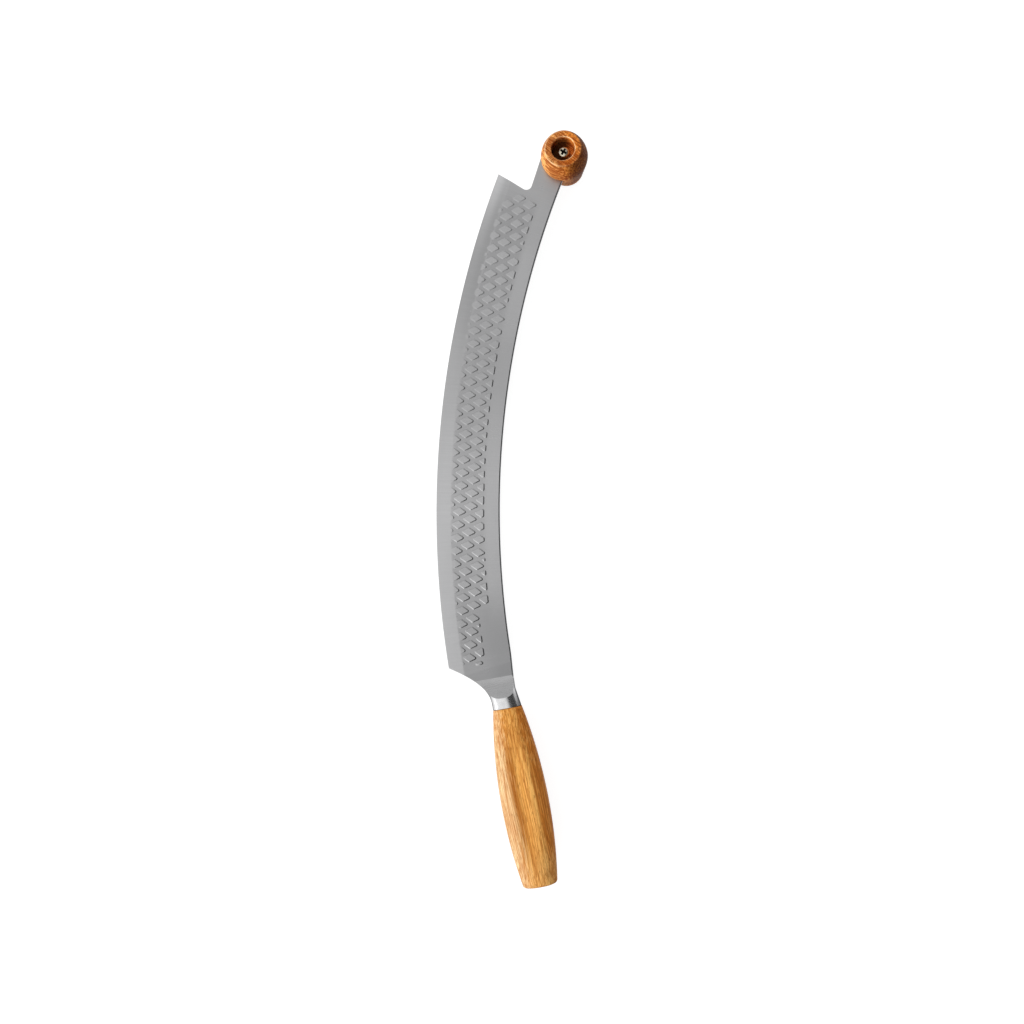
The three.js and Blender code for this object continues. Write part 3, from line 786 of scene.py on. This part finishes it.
def make_bolster(materials):
    columns = 160
    scoop_rows, collar_rows = 24, 14
    rows = scoop_rows + collar_rows + 2
    front = -SCOOP_AHEAD - SCOOP_FOOT_AHEAD
    turns = [oval(2 * math.pi * (column + 0.5) / columns, JOINT_SQUARENESS) for column in range(columns)]
    points = []
    for row in range(rows):
        for across, rise in turns:
            height = abs(rise) * JOINT_DEPTH / 2
            crease = scoop_crease(height)
            inset = 0.0
            if row <= scoop_rows:
                back = lerp(front, crease, (row / scoop_rows) ** SCOOP_ROW_SPREAD)
            elif row <= scoop_rows + collar_rows:
                back = lerp(crease, -COLLAR_LIP, (row - scoop_rows) / collar_rows)
            else:
                back = 0.0
                inset = COLLAR_LIP
            left, right = collar_left(back) + inset, collar_right(back) - inset
            right -= SPINE_ROUND * smoothstep(1 - (back - front) / HANDOVER)
            place = lerp(left, right, (across + 1) / 2)
            run = back + SCOOP_AHEAD
            sunk = SCOOP_FOOT_SUNK * smoothstep((SCOOP_FOOT_RUN - run) / SCOOP_FOOT_RUN)
            top = min(height - inset, scoop_height(back) - sunk)
            points.append((place, -back, math.copysign(top, rise)))
    faces = capped_faces(rows, columns)
    kinds = [0] * (scoop_rows * columns) + [1] * ((rows - 1 - scoop_rows) * columns) + [0, 1]
    return make_piece(
        "bolster_polished", points, faces, handle_matrix, materials, BOLSTER_SHARP_ANGLE, kinds,
    )


# Handle

def barrel(back, joint, belly, butt):
    end = joint if back < BELLY_FROM_JOINT else butt
    run = BELLY_FROM_JOINT if back < BELLY_FROM_JOINT else HANDLE_LENGTH - BELLY_FROM_JOINT
    return (belly - (belly - end) * ((back - BELLY_FROM_JOINT) / run) ** 2) / 2


def handle_ring(back, inset, columns):
    reach = barrel(back, JOINT_WIDTH, BELLY_WIDTH, BUTT_WIDTH) - inset
    depth = barrel(back, JOINT_DEPTH, BELLY_DEPTH, BUTT_DEPTH) - inset
    length = smoothstep(1 - ((back - HOLLOW_FROM_JOINT) / (HOLLOW_LENGTH / 2)) ** 2)
    soften = max(1 - back / BELLY_FROM_JOINT, 0)
    squareness = lerp(BELLY_SQUARENESS, JOINT_SQUARENESS, soften)
    ring = []
    for column in range(columns):
        across, rise = oval(2 * math.pi * (column + 0.5) / columns, squareness)
        if across < HOLLOW_BOTTOM:
            share = smoothstep((across - HOLLOW_LEFT) / (HOLLOW_BOTTOM - HOLLOW_LEFT))
        else:
            share = smoothstep((across - HOLLOW_RIGHT) / (HOLLOW_BOTTOM - HOLLOW_RIGHT))
        dent = HOLLOW_DEPTH * length * share
        ring.append((reach * across, -back, math.copysign(abs(rise) * depth - dent, rise)))
    return ring


def make_handle(materials):
    columns = 144
    rings = []
    for k in range(4):
        angle = math.pi / 2 * k / 3
        back = HANDLE_GAP + HANDLE_LIP * (1 - math.sin(angle))
        rings.append(handle_ring(back, HANDLE_LIP * (1 - math.cos(angle)), columns))
    rings.reverse()
    side_end = HANDLE_LENGTH - BUTT_DOME - BUTT_ROUND
    steps = 150
    for k in range(1, steps + 1):
        rings.append(handle_ring(lerp(HANDLE_GAP + HANDLE_LIP, side_end, k / steps), 0, columns))
    for k in range(1, 9):
        angle = math.pi / 2 * k / 8
        rings.append(handle_ring(
            side_end + BUTT_ROUND * math.sin(angle), BUTT_ROUND * (1 - math.cos(angle)), columns,
        ))
    for k in range(1, 9):
        share = k / 8
        inset = lerp(BUTT_ROUND, BUTT_DEPTH / 2, share * BUTT_FACE_SHARE)
        rings.append(handle_ring(HANDLE_LENGTH - BUTT_DOME * (1 - share) ** 2, inset, columns))
    points = [point for ring in rings for point in ring]
    faces = capped_faces(len(rings), columns)
    return make_piece("handle_turned", points, faces, handle_matrix, materials)


# Knob and screw

def rounded(profile, corner, radius, steps=5):
    before, point, after = (Vector(p) for p in corner)
    profile.extend(tuple(p) for p in fillet(before, point, after, radius, steps))


def make_knob(materials):
    girth = KNOB_GIRTH / 2 - KNOB_INSET
    front_end = KNOB_FRONT_END / 2 - KNOB_INSET
    back_end = KNOB_BACK_END / 2 - KNOB_INSET
    front = KNOB_FRONT - KNOB_INSET
    run = front - KNOB_GIRTH_HEIGHT

    def swell(height):
        return girth - (girth - front_end) * ((height - KNOB_GIRTH_HEIGHT) / run) ** 2

    bore = COUNTERBORE / 2
    rear = KNOB_INSET - KNOB_BACK
    profile = [(NEAR_AXIS, rear), (back_end * 0.5, rear)]
    rounded(profile, ((0, rear), (back_end, rear), (girth, KNOB_GIRTH_HEIGHT)), KNOB_ROUND)
    for k in range(1, 12):
        t = k / 12
        profile.append((lerp(back_end, girth, t), lerp(rear, KNOB_GIRTH_HEIGHT, t)))
    below = front - KNOB_RIM_HEIGHT
    for k in range(15):
        height = lerp(KNOB_GIRTH_HEIGHT + KNOB_GIRTH_BAND, below, k / 14)
        profile.append((swell(height), height))
    rounded(profile, ((swell(below), below), (front_end, front), (bore, front)), KNOB_ROUND)
    rounded(profile, ((front_end, front), (bore, front), (bore, counterbore_floor)), COUNTERBORE_ROUND)
    for k in range(1, 6):
        profile.append((bore, lerp(front - COUNTERBORE_ROUND, counterbore_floor, k / 6)))
    floor_corner = ((bore, front), (bore, counterbore_floor), (0, counterbore_floor))
    rounded(profile, floor_corner, COUNTERBORE_FLOOR_ROUND)
    hole, hole_floor = SCREW_DIAMETER / 2, counterbore_floor - SCREW_HOLE_SHOWN
    profile += [(bore * 0.6, counterbore_floor), (hole, counterbore_floor)]
    profile += [(hole, hole_floor), (NEAR_AXIS, hole_floor)]
    points, faces = revolve(profile, 144)
    return make_piece("knob_turned", points, faces, knob_matrix, materials, KNOB_SHARP_ANGLE)


def make_screw(materials):
    seat = counterbore_floor + SCREW_SEAT_GAP
    end = seat - SCREW_REACH
    head, shank = SCREW_HEAD / 2, SCREW_DIAMETER / 2 - SCREW_SHANK_GAP
    profile = [(NEAR_AXIS, end), (shank * 0.5, end), (shank, end + SCREW_POINT)]
    profile += [(shank, seat - SCREW_NECK), (shank, seat)]
    profile += [(head - SCREW_HEAD_EDGE, seat), (head, seat + SCREW_HEAD_EDGE)]
    dome = SCREW_HEAD_HEIGHT - SCREW_HEAD_WALL
    for k in range(24):
        angle = math.pi / 2 * k / 24
        radius, rise = oval(angle, SCREW_SQUARENESS)
        profile.append((head * radius, seat + SCREW_HEAD_WALL + dome * rise))
    top = seat + SCREW_HEAD_HEIGHT
    profile.append((NEAR_AXIS, top))
    points, faces = revolve(profile, 72)
    screw = make_piece("knob_screw_head", points, faces, knob_matrix, materials[:1], SCREW_SHARP_ANGLE)
    cutter_points, cutter_faces = [], []
    for turn in (RECESS_TURN, RECESS_TURN + math.pi / 2):
        first = len(cutter_points)
        for share, height in ((RECESS_MOUTH_SHARE, RECESS_CUT_ABOVE), (RECESS_FLOOR_SHARE, -RECESS_DEPTH)):
            for sx, sy in ((-1, -1), (1, -1), (1, 1), (-1, 1)):
                flat = turned(Vector((sx * RECESS_SPAN / 2 * share, sy * RECESS_WIDTH / 2)), turn)
                cutter_points.append((flat.x, flat.y, top + height))
        for a, b in ((0, 1), (1, 2), (2, 3), (3, 0)):
            cutter_faces.append((first + a, first + b, first + b + 4, first + a + 4))
        cutter_faces += [tuple(first + k for k in (3, 2, 1, 0)), tuple(first + k for k in (4, 5, 6, 7))]
    cutter = make_piece("recess_cutter", cutter_points, cutter_faces, knob_matrix, materials[1:])
    cut = screw.modifiers.new("recess", "BOOLEAN")
    cut.operation = "DIFFERENCE"
    cut.solver = "EXACT"
    cut.material_mode = "TRANSFER"
    cut.use_self = True
    cut.object = cutter
    bpy.context.view_layer.objects.active = screw
    bpy.ops.object.modifier_apply(modifier=cut.name)
    bpy.data.objects.remove(cutter)
    screw.data.set_sharp_from_angle(angle=math.radians(SCREW_SHARP_ANGLE))
    return screw


# Materials

def new_material(name):
    material = bpy.data.materials.new(name)
    material.use_nodes = True
    return material, material.node_tree, material.node_tree.nodes["Principled BSDF"]


# A node with its inputs set, each to a constant or to another node's output
def put(tree, kind, inputs, **settings):
    node = tree.nodes.new("ShaderNode" + kind)
    for name, value in settings.items():
        setattr(node, name, value)
    for name, value in inputs.items():
        if isinstance(value, bpy.types.NodeSocket):
            tree.links.new(value, node.inputs[name])
        else:
            node.inputs[name].default_value = value
    return node


def arithmetic(tree, operation, a, b):
    return put(tree, "Math", {0: a, 1: b}, operation=operation).outputs[0]


def product(tree, result, *others):
    for other in others:
        result = arithmetic(tree, "MULTIPLY", result, other)
    return result


def total(tree, result, *others):
    for other in others:
        result = arithmetic(tree, "ADD", result, other)
    return result


def ranged(tree, value, low, high, to_low=0.0, to_high=1.0):
    inputs = {"Value": value, "From Min": low, "From Max": high, "To Min": to_low, "To Max": to_high}
    return put(tree, "MapRange", inputs, interpolation_type="SMOOTHSTEP").outputs["Result"]


def blend(tree, factor, a, b, mode="MIX"):
    inputs = {}
    for index, value in ((0, factor), (6, a), (7, b)):
        inputs[index] = (*value, 1) if isinstance(value, tuple) else value
    return put(tree, "Mix", inputs, data_type="RGBA", blend_type=mode).outputs[2]


def split(tree, vector):
    outputs = put(tree, "SeparateXYZ", {0: vector}).outputs
    return outputs["X"], outputs["Y"], outputs["Z"]


def noise(tree, vector, scale, detail):
    inputs = {"Vector": vector, "Scale": scale, "Detail": detail, "Roughness": NOISE_ROUGHNESS}
    return put(tree, "TexNoise", inputs).outputs["Fac"]


def stretched(tree, vector, scales, turn=(0.0, 0.0, 0.0)):
    return put(tree, "Mapping", {"Vector": vector, "Rotation": turn, "Scale": scales}).outputs[0]


def streaks(tree, vector, scales, detail):
    return noise(tree, stretched(tree, vector, scales), 1.0, detail)


# Places in a piece's own frame, in millimetres
def own_places(tree, matrix):
    back = matrix.inverted()
    coordinates = put(tree, "TexCoord", {}).outputs["Object"]
    inputs = {
        "Vector": coordinates,
        "Location": back.to_translation() / MM,
        "Rotation": back.to_euler(),
        "Scale": (1 / MM, 1 / MM, 1 / MM),
    }
    return put(tree, "Mapping", inputs).outputs[0]


# A value that follows levels given at a few places
def followed(tree, value, stops):
    first, last = stops[0][0], stops[-1][0]
    share = put(tree, "MapRange", {"Value": value, "From Min": first, "From Max": last}).outputs["Result"]
    ramp = put(tree, "ValToRGB", {"Fac": share})
    elements = ramp.color_ramp.elements
    ramp.color_ramp.interpolation = "B_SPLINE"
    while len(elements) < len(stops):
        elements.new(0.5)
    for element, (place, level) in zip(elements, stops):
        element.position = (place - first) / (last - first)
        element.color = (level / 2, level / 2, level / 2, 1)
    return blend(tree, 1.0, ramp.outputs["Color"], (2.0, 2.0, 2.0), "MULTIPLY")


def bumped(tree, shader, height, distance, strength):
    bump = put(tree, "Bump", {"Height": height, "Distance": distance, "Strength": strength})
    tree.links.new(bump.outputs["Normal"], shader.inputs["Normal"])


def painted(tree, shader, colour, roughness, metallic=0):
    tree.links.new(colour, shader.inputs["Base Color"])
    tree.links.new(roughness, shader.inputs["Roughness"])
    shader.inputs["Metallic"].default_value = metallic


def steel(level):
    return level, level, level + 0.005


# The blade's own places are in metres, along the edge and inward from it
def blade_material():
    material, tree, shader = new_material("blade_steel")
    places = put(tree, "UVMap", {}, uv_map="places").outputs[0]
    along, inward, _ = split(tree, places)
    relief, _, _ = split(tree, put(tree, "UVMap", {}, uv_map="relief").outputs[0])
    fine = streaks(tree, places, (1400, 30, 1), 2)
    broad = streaks(tree, places, (420, 14, 1), 2)
    cloud = streaks(tree, places, (22, 45, 1), 3)
    streak = total(tree, product(tree, fine, 0.6), product(tree, broad, 0.4))

    # Towards the tip the bevel's ground band ends nearer the edge on the pads than between them
    pushed_out = product(tree, relief, ranged(tree, along, 0.02, 0.12, 0.0, 0.0013))
    bevel_end = total(tree, inward, pushed_out)
    ground = ranged(tree, bevel_end, (BEVEL_WIDTH + 0.8) * MM, (BEVEL_WIDTH - 0.6) * MM)
    edgeward = ranged(tree, inward, 0.008, 0.002)
    # Painted reflection along the blade, on the face and on the bevel's inner and outer bands
    face_reflection_paint = followed(tree, along, FACE_PAINTED_REFLECTION)
    inner_reflection_paint = followed(tree, along, INNER_BEVEL_PAINTED_REFLECTION)
    outer_reflection_paint = followed(tree, along, OUTER_BEVEL_PAINTED_REFLECTION)
    reflection_paint = blend(tree, ground, face_reflection_paint, blend(tree, edgeward, inner_reflection_paint, outer_reflection_paint))
    colour = blend(tree, ranged(tree, streak, 0.3, 0.7), steel(0.41), steel(0.44))
    colour = blend(tree, ranged(tree, cloud, 0.35, 0.7, 0.0, 0.35), colour, steel(0.40))
    colour = blend(tree, 1.0, colour, reflection_paint, "MULTIPLY")

    # Painted shade: darker beside the spine near the heel, and in a band just before the scoop
    heel_shade = product(tree, ranged(tree, along, -0.050, -0.095), ranged(tree, inward, 0.018, 0.034), 0.42)
    colour = blend(tree, heel_shade, colour, steel(0.26))
    before_scoop = arithmetic(tree, "SUBTRACT", product(tree, inward, 0.14), along)
    colour = blend(tree, ranged(tree, before_scoop, 0.1144, 0.1158, 0.0, 0.22), colour, steel(0.20))

    # Darker between the pads, more so towards the tip
    between = product(
        tree,
        ranged(tree, relief, 0.6, 0.1),
        ranged(tree, inward, 0.009, 0.011),
        ranged(tree, inward, 0.0345, 0.029),
        ranged(tree, along, 0.220, 0.200),
        ranged(tree, along, 0.11, 0.17, 0.30, 0.55),
    )
    colour = blend(tree, between, colour, steel(0.30))

    # Painted shade on the spine's rounding
    spine = ranged(tree, inward, (BLADE_WIDTH - 0.7) * MM, (BLADE_WIDTH - 0.3) * MM, 0.0, 0.75)
    colour = blend(tree, spine, colour, steel(0.10))
    painted(tree, shader, colour, ranged(tree, total(tree, broad, cloud), 0.6, 1.4, 0.27, 0.35), 1)
    shader.inputs["Anisotropic"].default_value = 0.45
    tangent = put(tree, "Tangent", {}, direction_type="UV_MAP", uv_map="places")
    tree.links.new(tangent.outputs[0], shader.inputs["Tangent"])
    bumped(tree, shader, streak, 0.000005, 0.5)
    return material


def scoop_material():
    material, tree, shader = new_material("scoop_steel")
    places = own_places(tree, handle_matrix)
    lines = streaks(tree, places, (0.15, 2.4, 0.3), 4)
    cloud = noise(tree, places, 0.12, 3)
    colour = blend(tree, ranged(tree, lines, 0.3, 0.7), steel(0.40), steel(0.47))
    colour = blend(tree, ranged(tree, cloud, 0.35, 0.7, 0.0, 0.4), colour, steel(0.37))
    painted(tree, shader, colour, ranged(tree, lines, 0.2, 0.8, 0.24, 0.34), 1)
    bumped(tree, shader, lines, 0.00002, 0.5)
    return material


# Polished, with painted shade on both flanks
def collar_material():
    material, tree, shader = new_material("collar_steel")
    places = own_places(tree, handle_matrix)
    across, _, _ = split(tree, places)
    lines = streaks(tree, places, (0.2, 5.0, 0.2), 5)
    cloud = noise(tree, places, 0.3, 3)
    colour = blend(tree, ranged(tree, cloud, 0.35, 0.7), steel(0.74), (0.66, 0.66, 0.67))
    # Painted shade, deep on the right flank and lighter on the left flank
    colour = blend(tree, ranged(tree, across, 6.4, 8.2, 0.0, 0.85), colour, steel(0.08))
    colour = blend(tree, ranged(tree, across, -7.8, -9.0, 0.0, 0.6), colour, steel(0.25))
    painted(tree, shader, colour, ranged(tree, lines, 0.2, 0.8, 0.22, 0.30), 1)
    shader.inputs["Specular Tint"].default_value = (0.25, 0.25, 0.25, 1)
    bumped(tree, shader, lines, 0.000004, 0.4)
    return material


def screw_material():
    material, tree, shader = new_material("screw_plating")
    cloud = noise(tree, own_places(tree, knob_matrix), 0.7, 4)
    colour = blend(tree, ranged(tree, cloud, 0.35, 0.7), (0.80, 0.76, 0.62), (0.66, 0.60, 0.44))
    painted(tree, shader, colour, ranged(tree, cloud, 0.3, 0.7, 0.22, 0.38), 1)
    bumped(tree, shader, cloud, 0.00003, 0.4)
    return material


# Painted shade: the inside of the screw's cross recess is painted near black
def recess_shade_material():
    material, tree, shader = new_material("recess_painted_shade")
    cloud = noise(tree, own_places(tree, knob_matrix), 1.5, 3)
    colour = blend(tree, cloud, (0.02, 0.018, 0.014), (0.06, 0.05, 0.035))
    painted(tree, shader, colour, ranged(tree, cloud, 0.3, 0.7, 0.5, 0.75))
    return material


def handle_material():
    material, tree, shader = new_material("handle_oak")
    places = own_places(tree, handle_matrix)
    across, forward, _ = split(tree, places)
    back = product(tree, forward, -1.0)
    wave = streaks(tree, places, (0.03, 0.012, 0.03), 1)
    shift = put(tree, "CombineXYZ", {"X": ranged(tree, wave, 0.2, 0.8, -1.2, 1.2)}).outputs[0]
    grain = put(tree, "VectorMath", {0: places, 1: shift}, operation="ADD").outputs[0]
    grain_across, _, _ = split(tree, grain)
    broad = streaks(tree, grain, (0.30, 0.006, 0.15), 2)
    fine = streaks(tree, grain, (1.25, 0.014, 0.9), 2)
    thin = streaks(tree, grain, (2.3, 0.03, 1.6), 1)
    pores = streaks(tree, grain, (2.1, 0.22, 1.5), 1)

    # Broad zones: a pale left side of painted light, a light band of painted highlight, a deep right flank
    # of painted shade, the hollow's valley of darker grain with painted shade, and paler on the left
    # towards the butt
    colour = blend(tree, ranged(tree, across, -9.0, -2.0), OAK_LIT_LEFT, OAK)
    lit = product(
        tree,
        ranged(tree, across, 2.0, 5.5),
        ranged(tree, across, 10.2, 8.6),
        ranged(tree, back, 14.0, 55.0, 0.0, 0.85),
    )
    colour = blend(tree, lit, colour, OAK_LIT)
    flank_place = total(tree, across, ranged(tree, back, 0.0, 35.0, 3.4, 0.0))
    colour = blend(tree, ranged(tree, flank_place, 7.6, 10.6, 0.0, 0.75), colour, OAK_SHADED_FLANK)
    valley_grain_and_shade = product(
        tree,
        ranged(tree, grain_across, -5.6, -4.0),
        ranged(tree, grain_across, -1.0, -3.0),
        ranged(tree, back, 15.0, 42.0),
        ranged(tree, back, 98.0, 76.0, 0.0, 0.6),
    )
    colour = blend(tree, valley_grain_and_shade, colour, OAK_VALLEY_GRAIN_AND_SHADE)
    butt = product(tree, ranged(tree, back, 84.0, 106.0, 0.0, 0.5), ranged(tree, across, -6.0, -2.0))
    colour = blend(tree, butt, colour, OAK_BUTT)

    # Grain, from broad bands to pores
    colour = blend(tree, ranged(tree, broad, 0.44, 0.60, 0.0, 0.3), colour, OAK_BROAD)
    colour = blend(tree, ranged(tree, fine, 0.50, 0.54, 0.0, 0.5), colour, OAK_FINE)
    # Pale grain lines, painted paler on the lit left side as painted light
    pale = blend(tree, ranged(tree, across, -6.0, 0.0), OAK_PALE_LIT_LEFT, OAK_PALE)
    colour = blend(tree, ranged(tree, fine, 0.46, 0.41, 0.0, 0.45), colour, pale)
    colour = blend(tree, ranged(tree, thin, 0.53, 0.57, 0.0, 0.55), colour, OAK_THIN)
    pore = ranged(tree, pores, 0.60, 0.67, 0.0, 0.6)
    colour = blend(tree, pore, colour, OAK_PORE)
    painted(tree, shader, colour, ranged(tree, fine, 0.2, 0.8, 0.45, 0.60))
    shader.inputs["Specular IOR Level"].default_value = 0.08
    bumped(tree, shader, arithmetic(tree, "SUBTRACT", product(tree, fine, 0.4), pore), 0.00012, 0.6)
    return material


def knob_material():
    material, tree, shader = new_material("knob_oiled_wood")
    places = own_places(tree, knob_matrix)
    across, upward, depth = split(tree, places)
    flat = put(tree, "CombineXYZ", {"X": across, "Y": upward}).outputs[0]
    from_axis = put(tree, "VectorMath", {0: flat}, operation="LENGTH").outputs["Value"]
    grain = stretched(tree, places, (1, 1, 1), (0.0, 0.0, KNOB_GRAIN))
    patch = streaks(tree, grain, (0.07, 0.17, 0.11), 2)
    fine = streaks(tree, grain, (0.08, 1.05, 0.8), 3)
    hatch = streaks(tree, grain, (1.6, 0.5, 0.5), 2)
    pores = streaks(tree, grain, (0.5, 2.2, 0.9), 2)

    # Painted light paler on the left side, then patches, grain, hatching on the top face alone, and pores
    colour = blend(tree, ranged(tree, across, -8.0, 3.0), KNOB_LIT_PALE, KNOB_BROWN)
    colour = blend(tree, ranged(tree, patch, 0.47, 0.54, 0.0, 0.8), colour, KNOB_PATCH)
    colour = blend(tree, ranged(tree, fine, 0.51, 0.60, 0.0, 0.65), colour, KNOB_FINE_DARK)
    colour = blend(tree, ranged(tree, fine, 0.47, 0.38, 0.0, 0.5), colour, KNOB_FINE_PALE)
    hatched = product(tree, ranged(tree, hatch, 0.53, 0.60, 0.0, 0.6), ranged(tree, depth, 16.5, 18.0))
    colour = blend(tree, hatched, colour, KNOB_HATCH)
    pore = ranged(tree, pores, 0.63, 0.70, 0.0, 0.4)
    colour = blend(tree, pore, colour, KNOB_PORE)

    # Painted shade: deep brown on the right flank and in the counterbore
    shaded = product(
        tree,
        ranged(tree, across, -1.0, 8.0),
        ranged(tree, from_axis, 11.2, 12.5),
        ranged(tree, fine, 0.4, 0.6, 0.7, 0.95),
    )
    colour = blend(tree, shaded, colour, KNOB_SHADED)
    inside = product(
        tree,
        ranged(tree, from_axis, 8.0, 7.5),
        ranged(tree, depth, 18.2, 14.0),
        ranged(tree, across, 5.5, 0.5, 0.1, 0.93),
    )
    colour = blend(tree, inside, colour, KNOB_INSIDE_SHADE)

    # Painted highlight: pale glints along the rim and the lip of the counterbore
    rim = product(tree, ranged(tree, from_axis, 11.0, 11.5), ranged(tree, across, 5.0, -6.0, 0.1, 0.8))
    lip = product(tree, ranged(tree, from_axis, 8.4, 7.9), ranged(tree, across, -6.0, 3.0, 0.15, 1.0))
    rim_glint = product(
        tree,
        ranged(tree, depth, 17.6, 18.3),
        arithmetic(tree, "MAXIMUM", rim, lip),
        ranged(tree, fine, 0.35, 0.6, 1.0, 0.4),
    )
    colour = blend(tree, rim_glint, colour, KNOB_RIM_GLINT)
    painted(tree, shader, colour, ranged(tree, fine, 0.2, 0.8, 0.45, 0.60))
    shader.inputs["Specular IOR Level"].default_value = 0.05
    bumped(tree, shader, arithmetic(tree, "SUBTRACT", product(tree, fine, 0.4), pore), 0.0001, 0.4)
    return material


def epoxy_material():
    material, tree, shader = new_material("tang_adhesive")
    cloud = noise(tree, put(tree, "TexCoord", {}).outputs["Object"], 220, 4)
    colour = blend(tree, cloud, (0.48, 0.36, 0.18), (0.66, 0.54, 0.32))
    painted(tree, shader, colour, ranged(tree, cloud, 0.3, 0.7, 0.3, 0.5))
    bumped(tree, shader, cloud, 0.0002, 0.4)
    return material


settle(make_blade([blade_material()]), "blade")
settle(make_bolster([scoop_material(), collar_material()]), "bolster")
settle(make_handle([handle_material()]), "handle")
settle(make_knob([knob_material()]), "knob")
settle(make_screw([screw_material(), recess_shade_material()]), "knob_screw")
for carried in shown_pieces():
    if carried.name.startswith("tang_epoxy"):
        carried.data.materials.clear()
        carried.data.materials.append(epoxy_material())


# Stage, light and camera

def make_floor():
    corners = [(x * FLOOR_REACH, y * FLOOR_REACH, 0) for x, y in ((-1, -1), (1, -1), (1, 1), (-1, 1))]
    mesh = bpy.data.meshes.new("floor")
    mesh.from_pydata(corners, [], [(0, 1, 2, 3)])
    floor = add_object("floor", mesh)
    floor.location.z = -FLOOR_DROP
    material, tree, _ = new_material("floor_white")
    tree.nodes.clear()
    path = put(tree, "LightPath", {})
    seen = arithmetic(tree, "MAXIMUM", path.outputs["Is Camera Ray"], path.outputs["Is Glossy Ray"])
    seen = arithmetic(tree, "MAXIMUM", seen, path.outputs["Is Transmission Ray"])
    glow = put(tree, "Emission", {"Strength": product(tree, seen, FLOOR_SEEN)})
    paint = put(tree, "BsdfDiffuse", {"Color": FLOOR_PAINT})
    both = put(tree, "AddShader", {0: paint.outputs[0], 1: glow.outputs[0]})
    put(tree, "OutputMaterial", {"Surface": both.outputs[0]})
    mesh.materials.append(material)


def make_lamp():
    lamp = bpy.data.lights.new("side", "AREA")
    lamp.shape = "RECTANGLE"
    lamp.size, lamp.size_y = LAMP_SIZE
    lamp.energy = LAMP_POWER
    thing = add_object("side", lamp)
    thing.visible_glossy = False
    turn = (LAMP_TARGET - LAMP_PLACE).to_track_quat("-Z", "Y")
    thing.matrix_world = Matrix.Translation(LAMP_PLACE) @ turn.to_matrix().to_4x4()


# A studio that is bright on the left and beyond the tip, and dark overhead and on the right. A soft box
# stands in front on the left and a pane on the far left. A glow and a dim low band lie on the right.
def make_world():
    world = bpy.data.worlds.new("studio")
    bpy.context.scene.world = world
    world.use_nodes = True
    tree = world.node_tree
    direction = put(tree, "TexCoord", {}).outputs["Generated"]

    def facing(axis):
        inputs = {0: direction, 1: Vector(axis).normalized()}
        return put(tree, "VectorMath", inputs, operation="DOT_PRODUCT").outputs["Value"]

    lengthwise = facing((0, 1, 0))
    left = ranged(tree, facing((-1, 0, 0)), 0.09, 0.25)
    shade = ranged(tree, lengthwise, 0.49, 0.64, 0.04, 1.05)
    wall = ranged(tree, lengthwise, 0.0, 0.45, 1.06, 0.82)
    walls = product(tree, left, arithmetic(tree, "SUBTRACT", wall, shade))
    soft_box = ranged(tree, facing((-0.5, -0.78, 0.37)), 0.9, 1.02, 0.0, 2.1)
    right = facing((1, 0, 0))
    glow = ranged(tree, right, 0.85, 1.0, 0.0, 0.1)
    low = ranged(tree, facing((0, 0, 1)), 0.52, 0.40, 0.0, 0.5)
    low_band = product(tree, low, ranged(tree, right, 0.0, 0.3))
    pane = ranged(tree, facing((-1, -0.1, 0.1)), 0.9, 0.98, 0.0, 0.9)
    level = total(tree, walls, shade, soft_box, glow, low_band, pane)
    background = tree.nodes["Background"]
    background.inputs["Color"].default_value = (1, 1, 1, 1)
    tree.links.new(level, background.inputs["Strength"])


def make_camera():
    lens = bpy.data.cameras.new("camera")
    lens.lens = LENS
    lens.sensor_width = SENSOR
    lens.sensor_fit = "HORIZONTAL"
    lens.dof.use_dof = False
    camera = add_object("camera", lens)
    forward = (AIM - EYE).normalized()
    up = Vector((1, 0, 0)).cross(forward).normalized()
    right = forward.cross(up)
    turn = Matrix((right, up, -forward)).transposed().to_4x4()
    camera.matrix_world = blade_matrix @ Matrix.Translation(EYE * MM) @ turn
    bpy.context.scene.camera = camera


make_floor()
make_world()
make_lamp()
make_camera()
bpy.context.scene.view_settings.view_transform = "Standard"

bpy.context.view_layer.update()
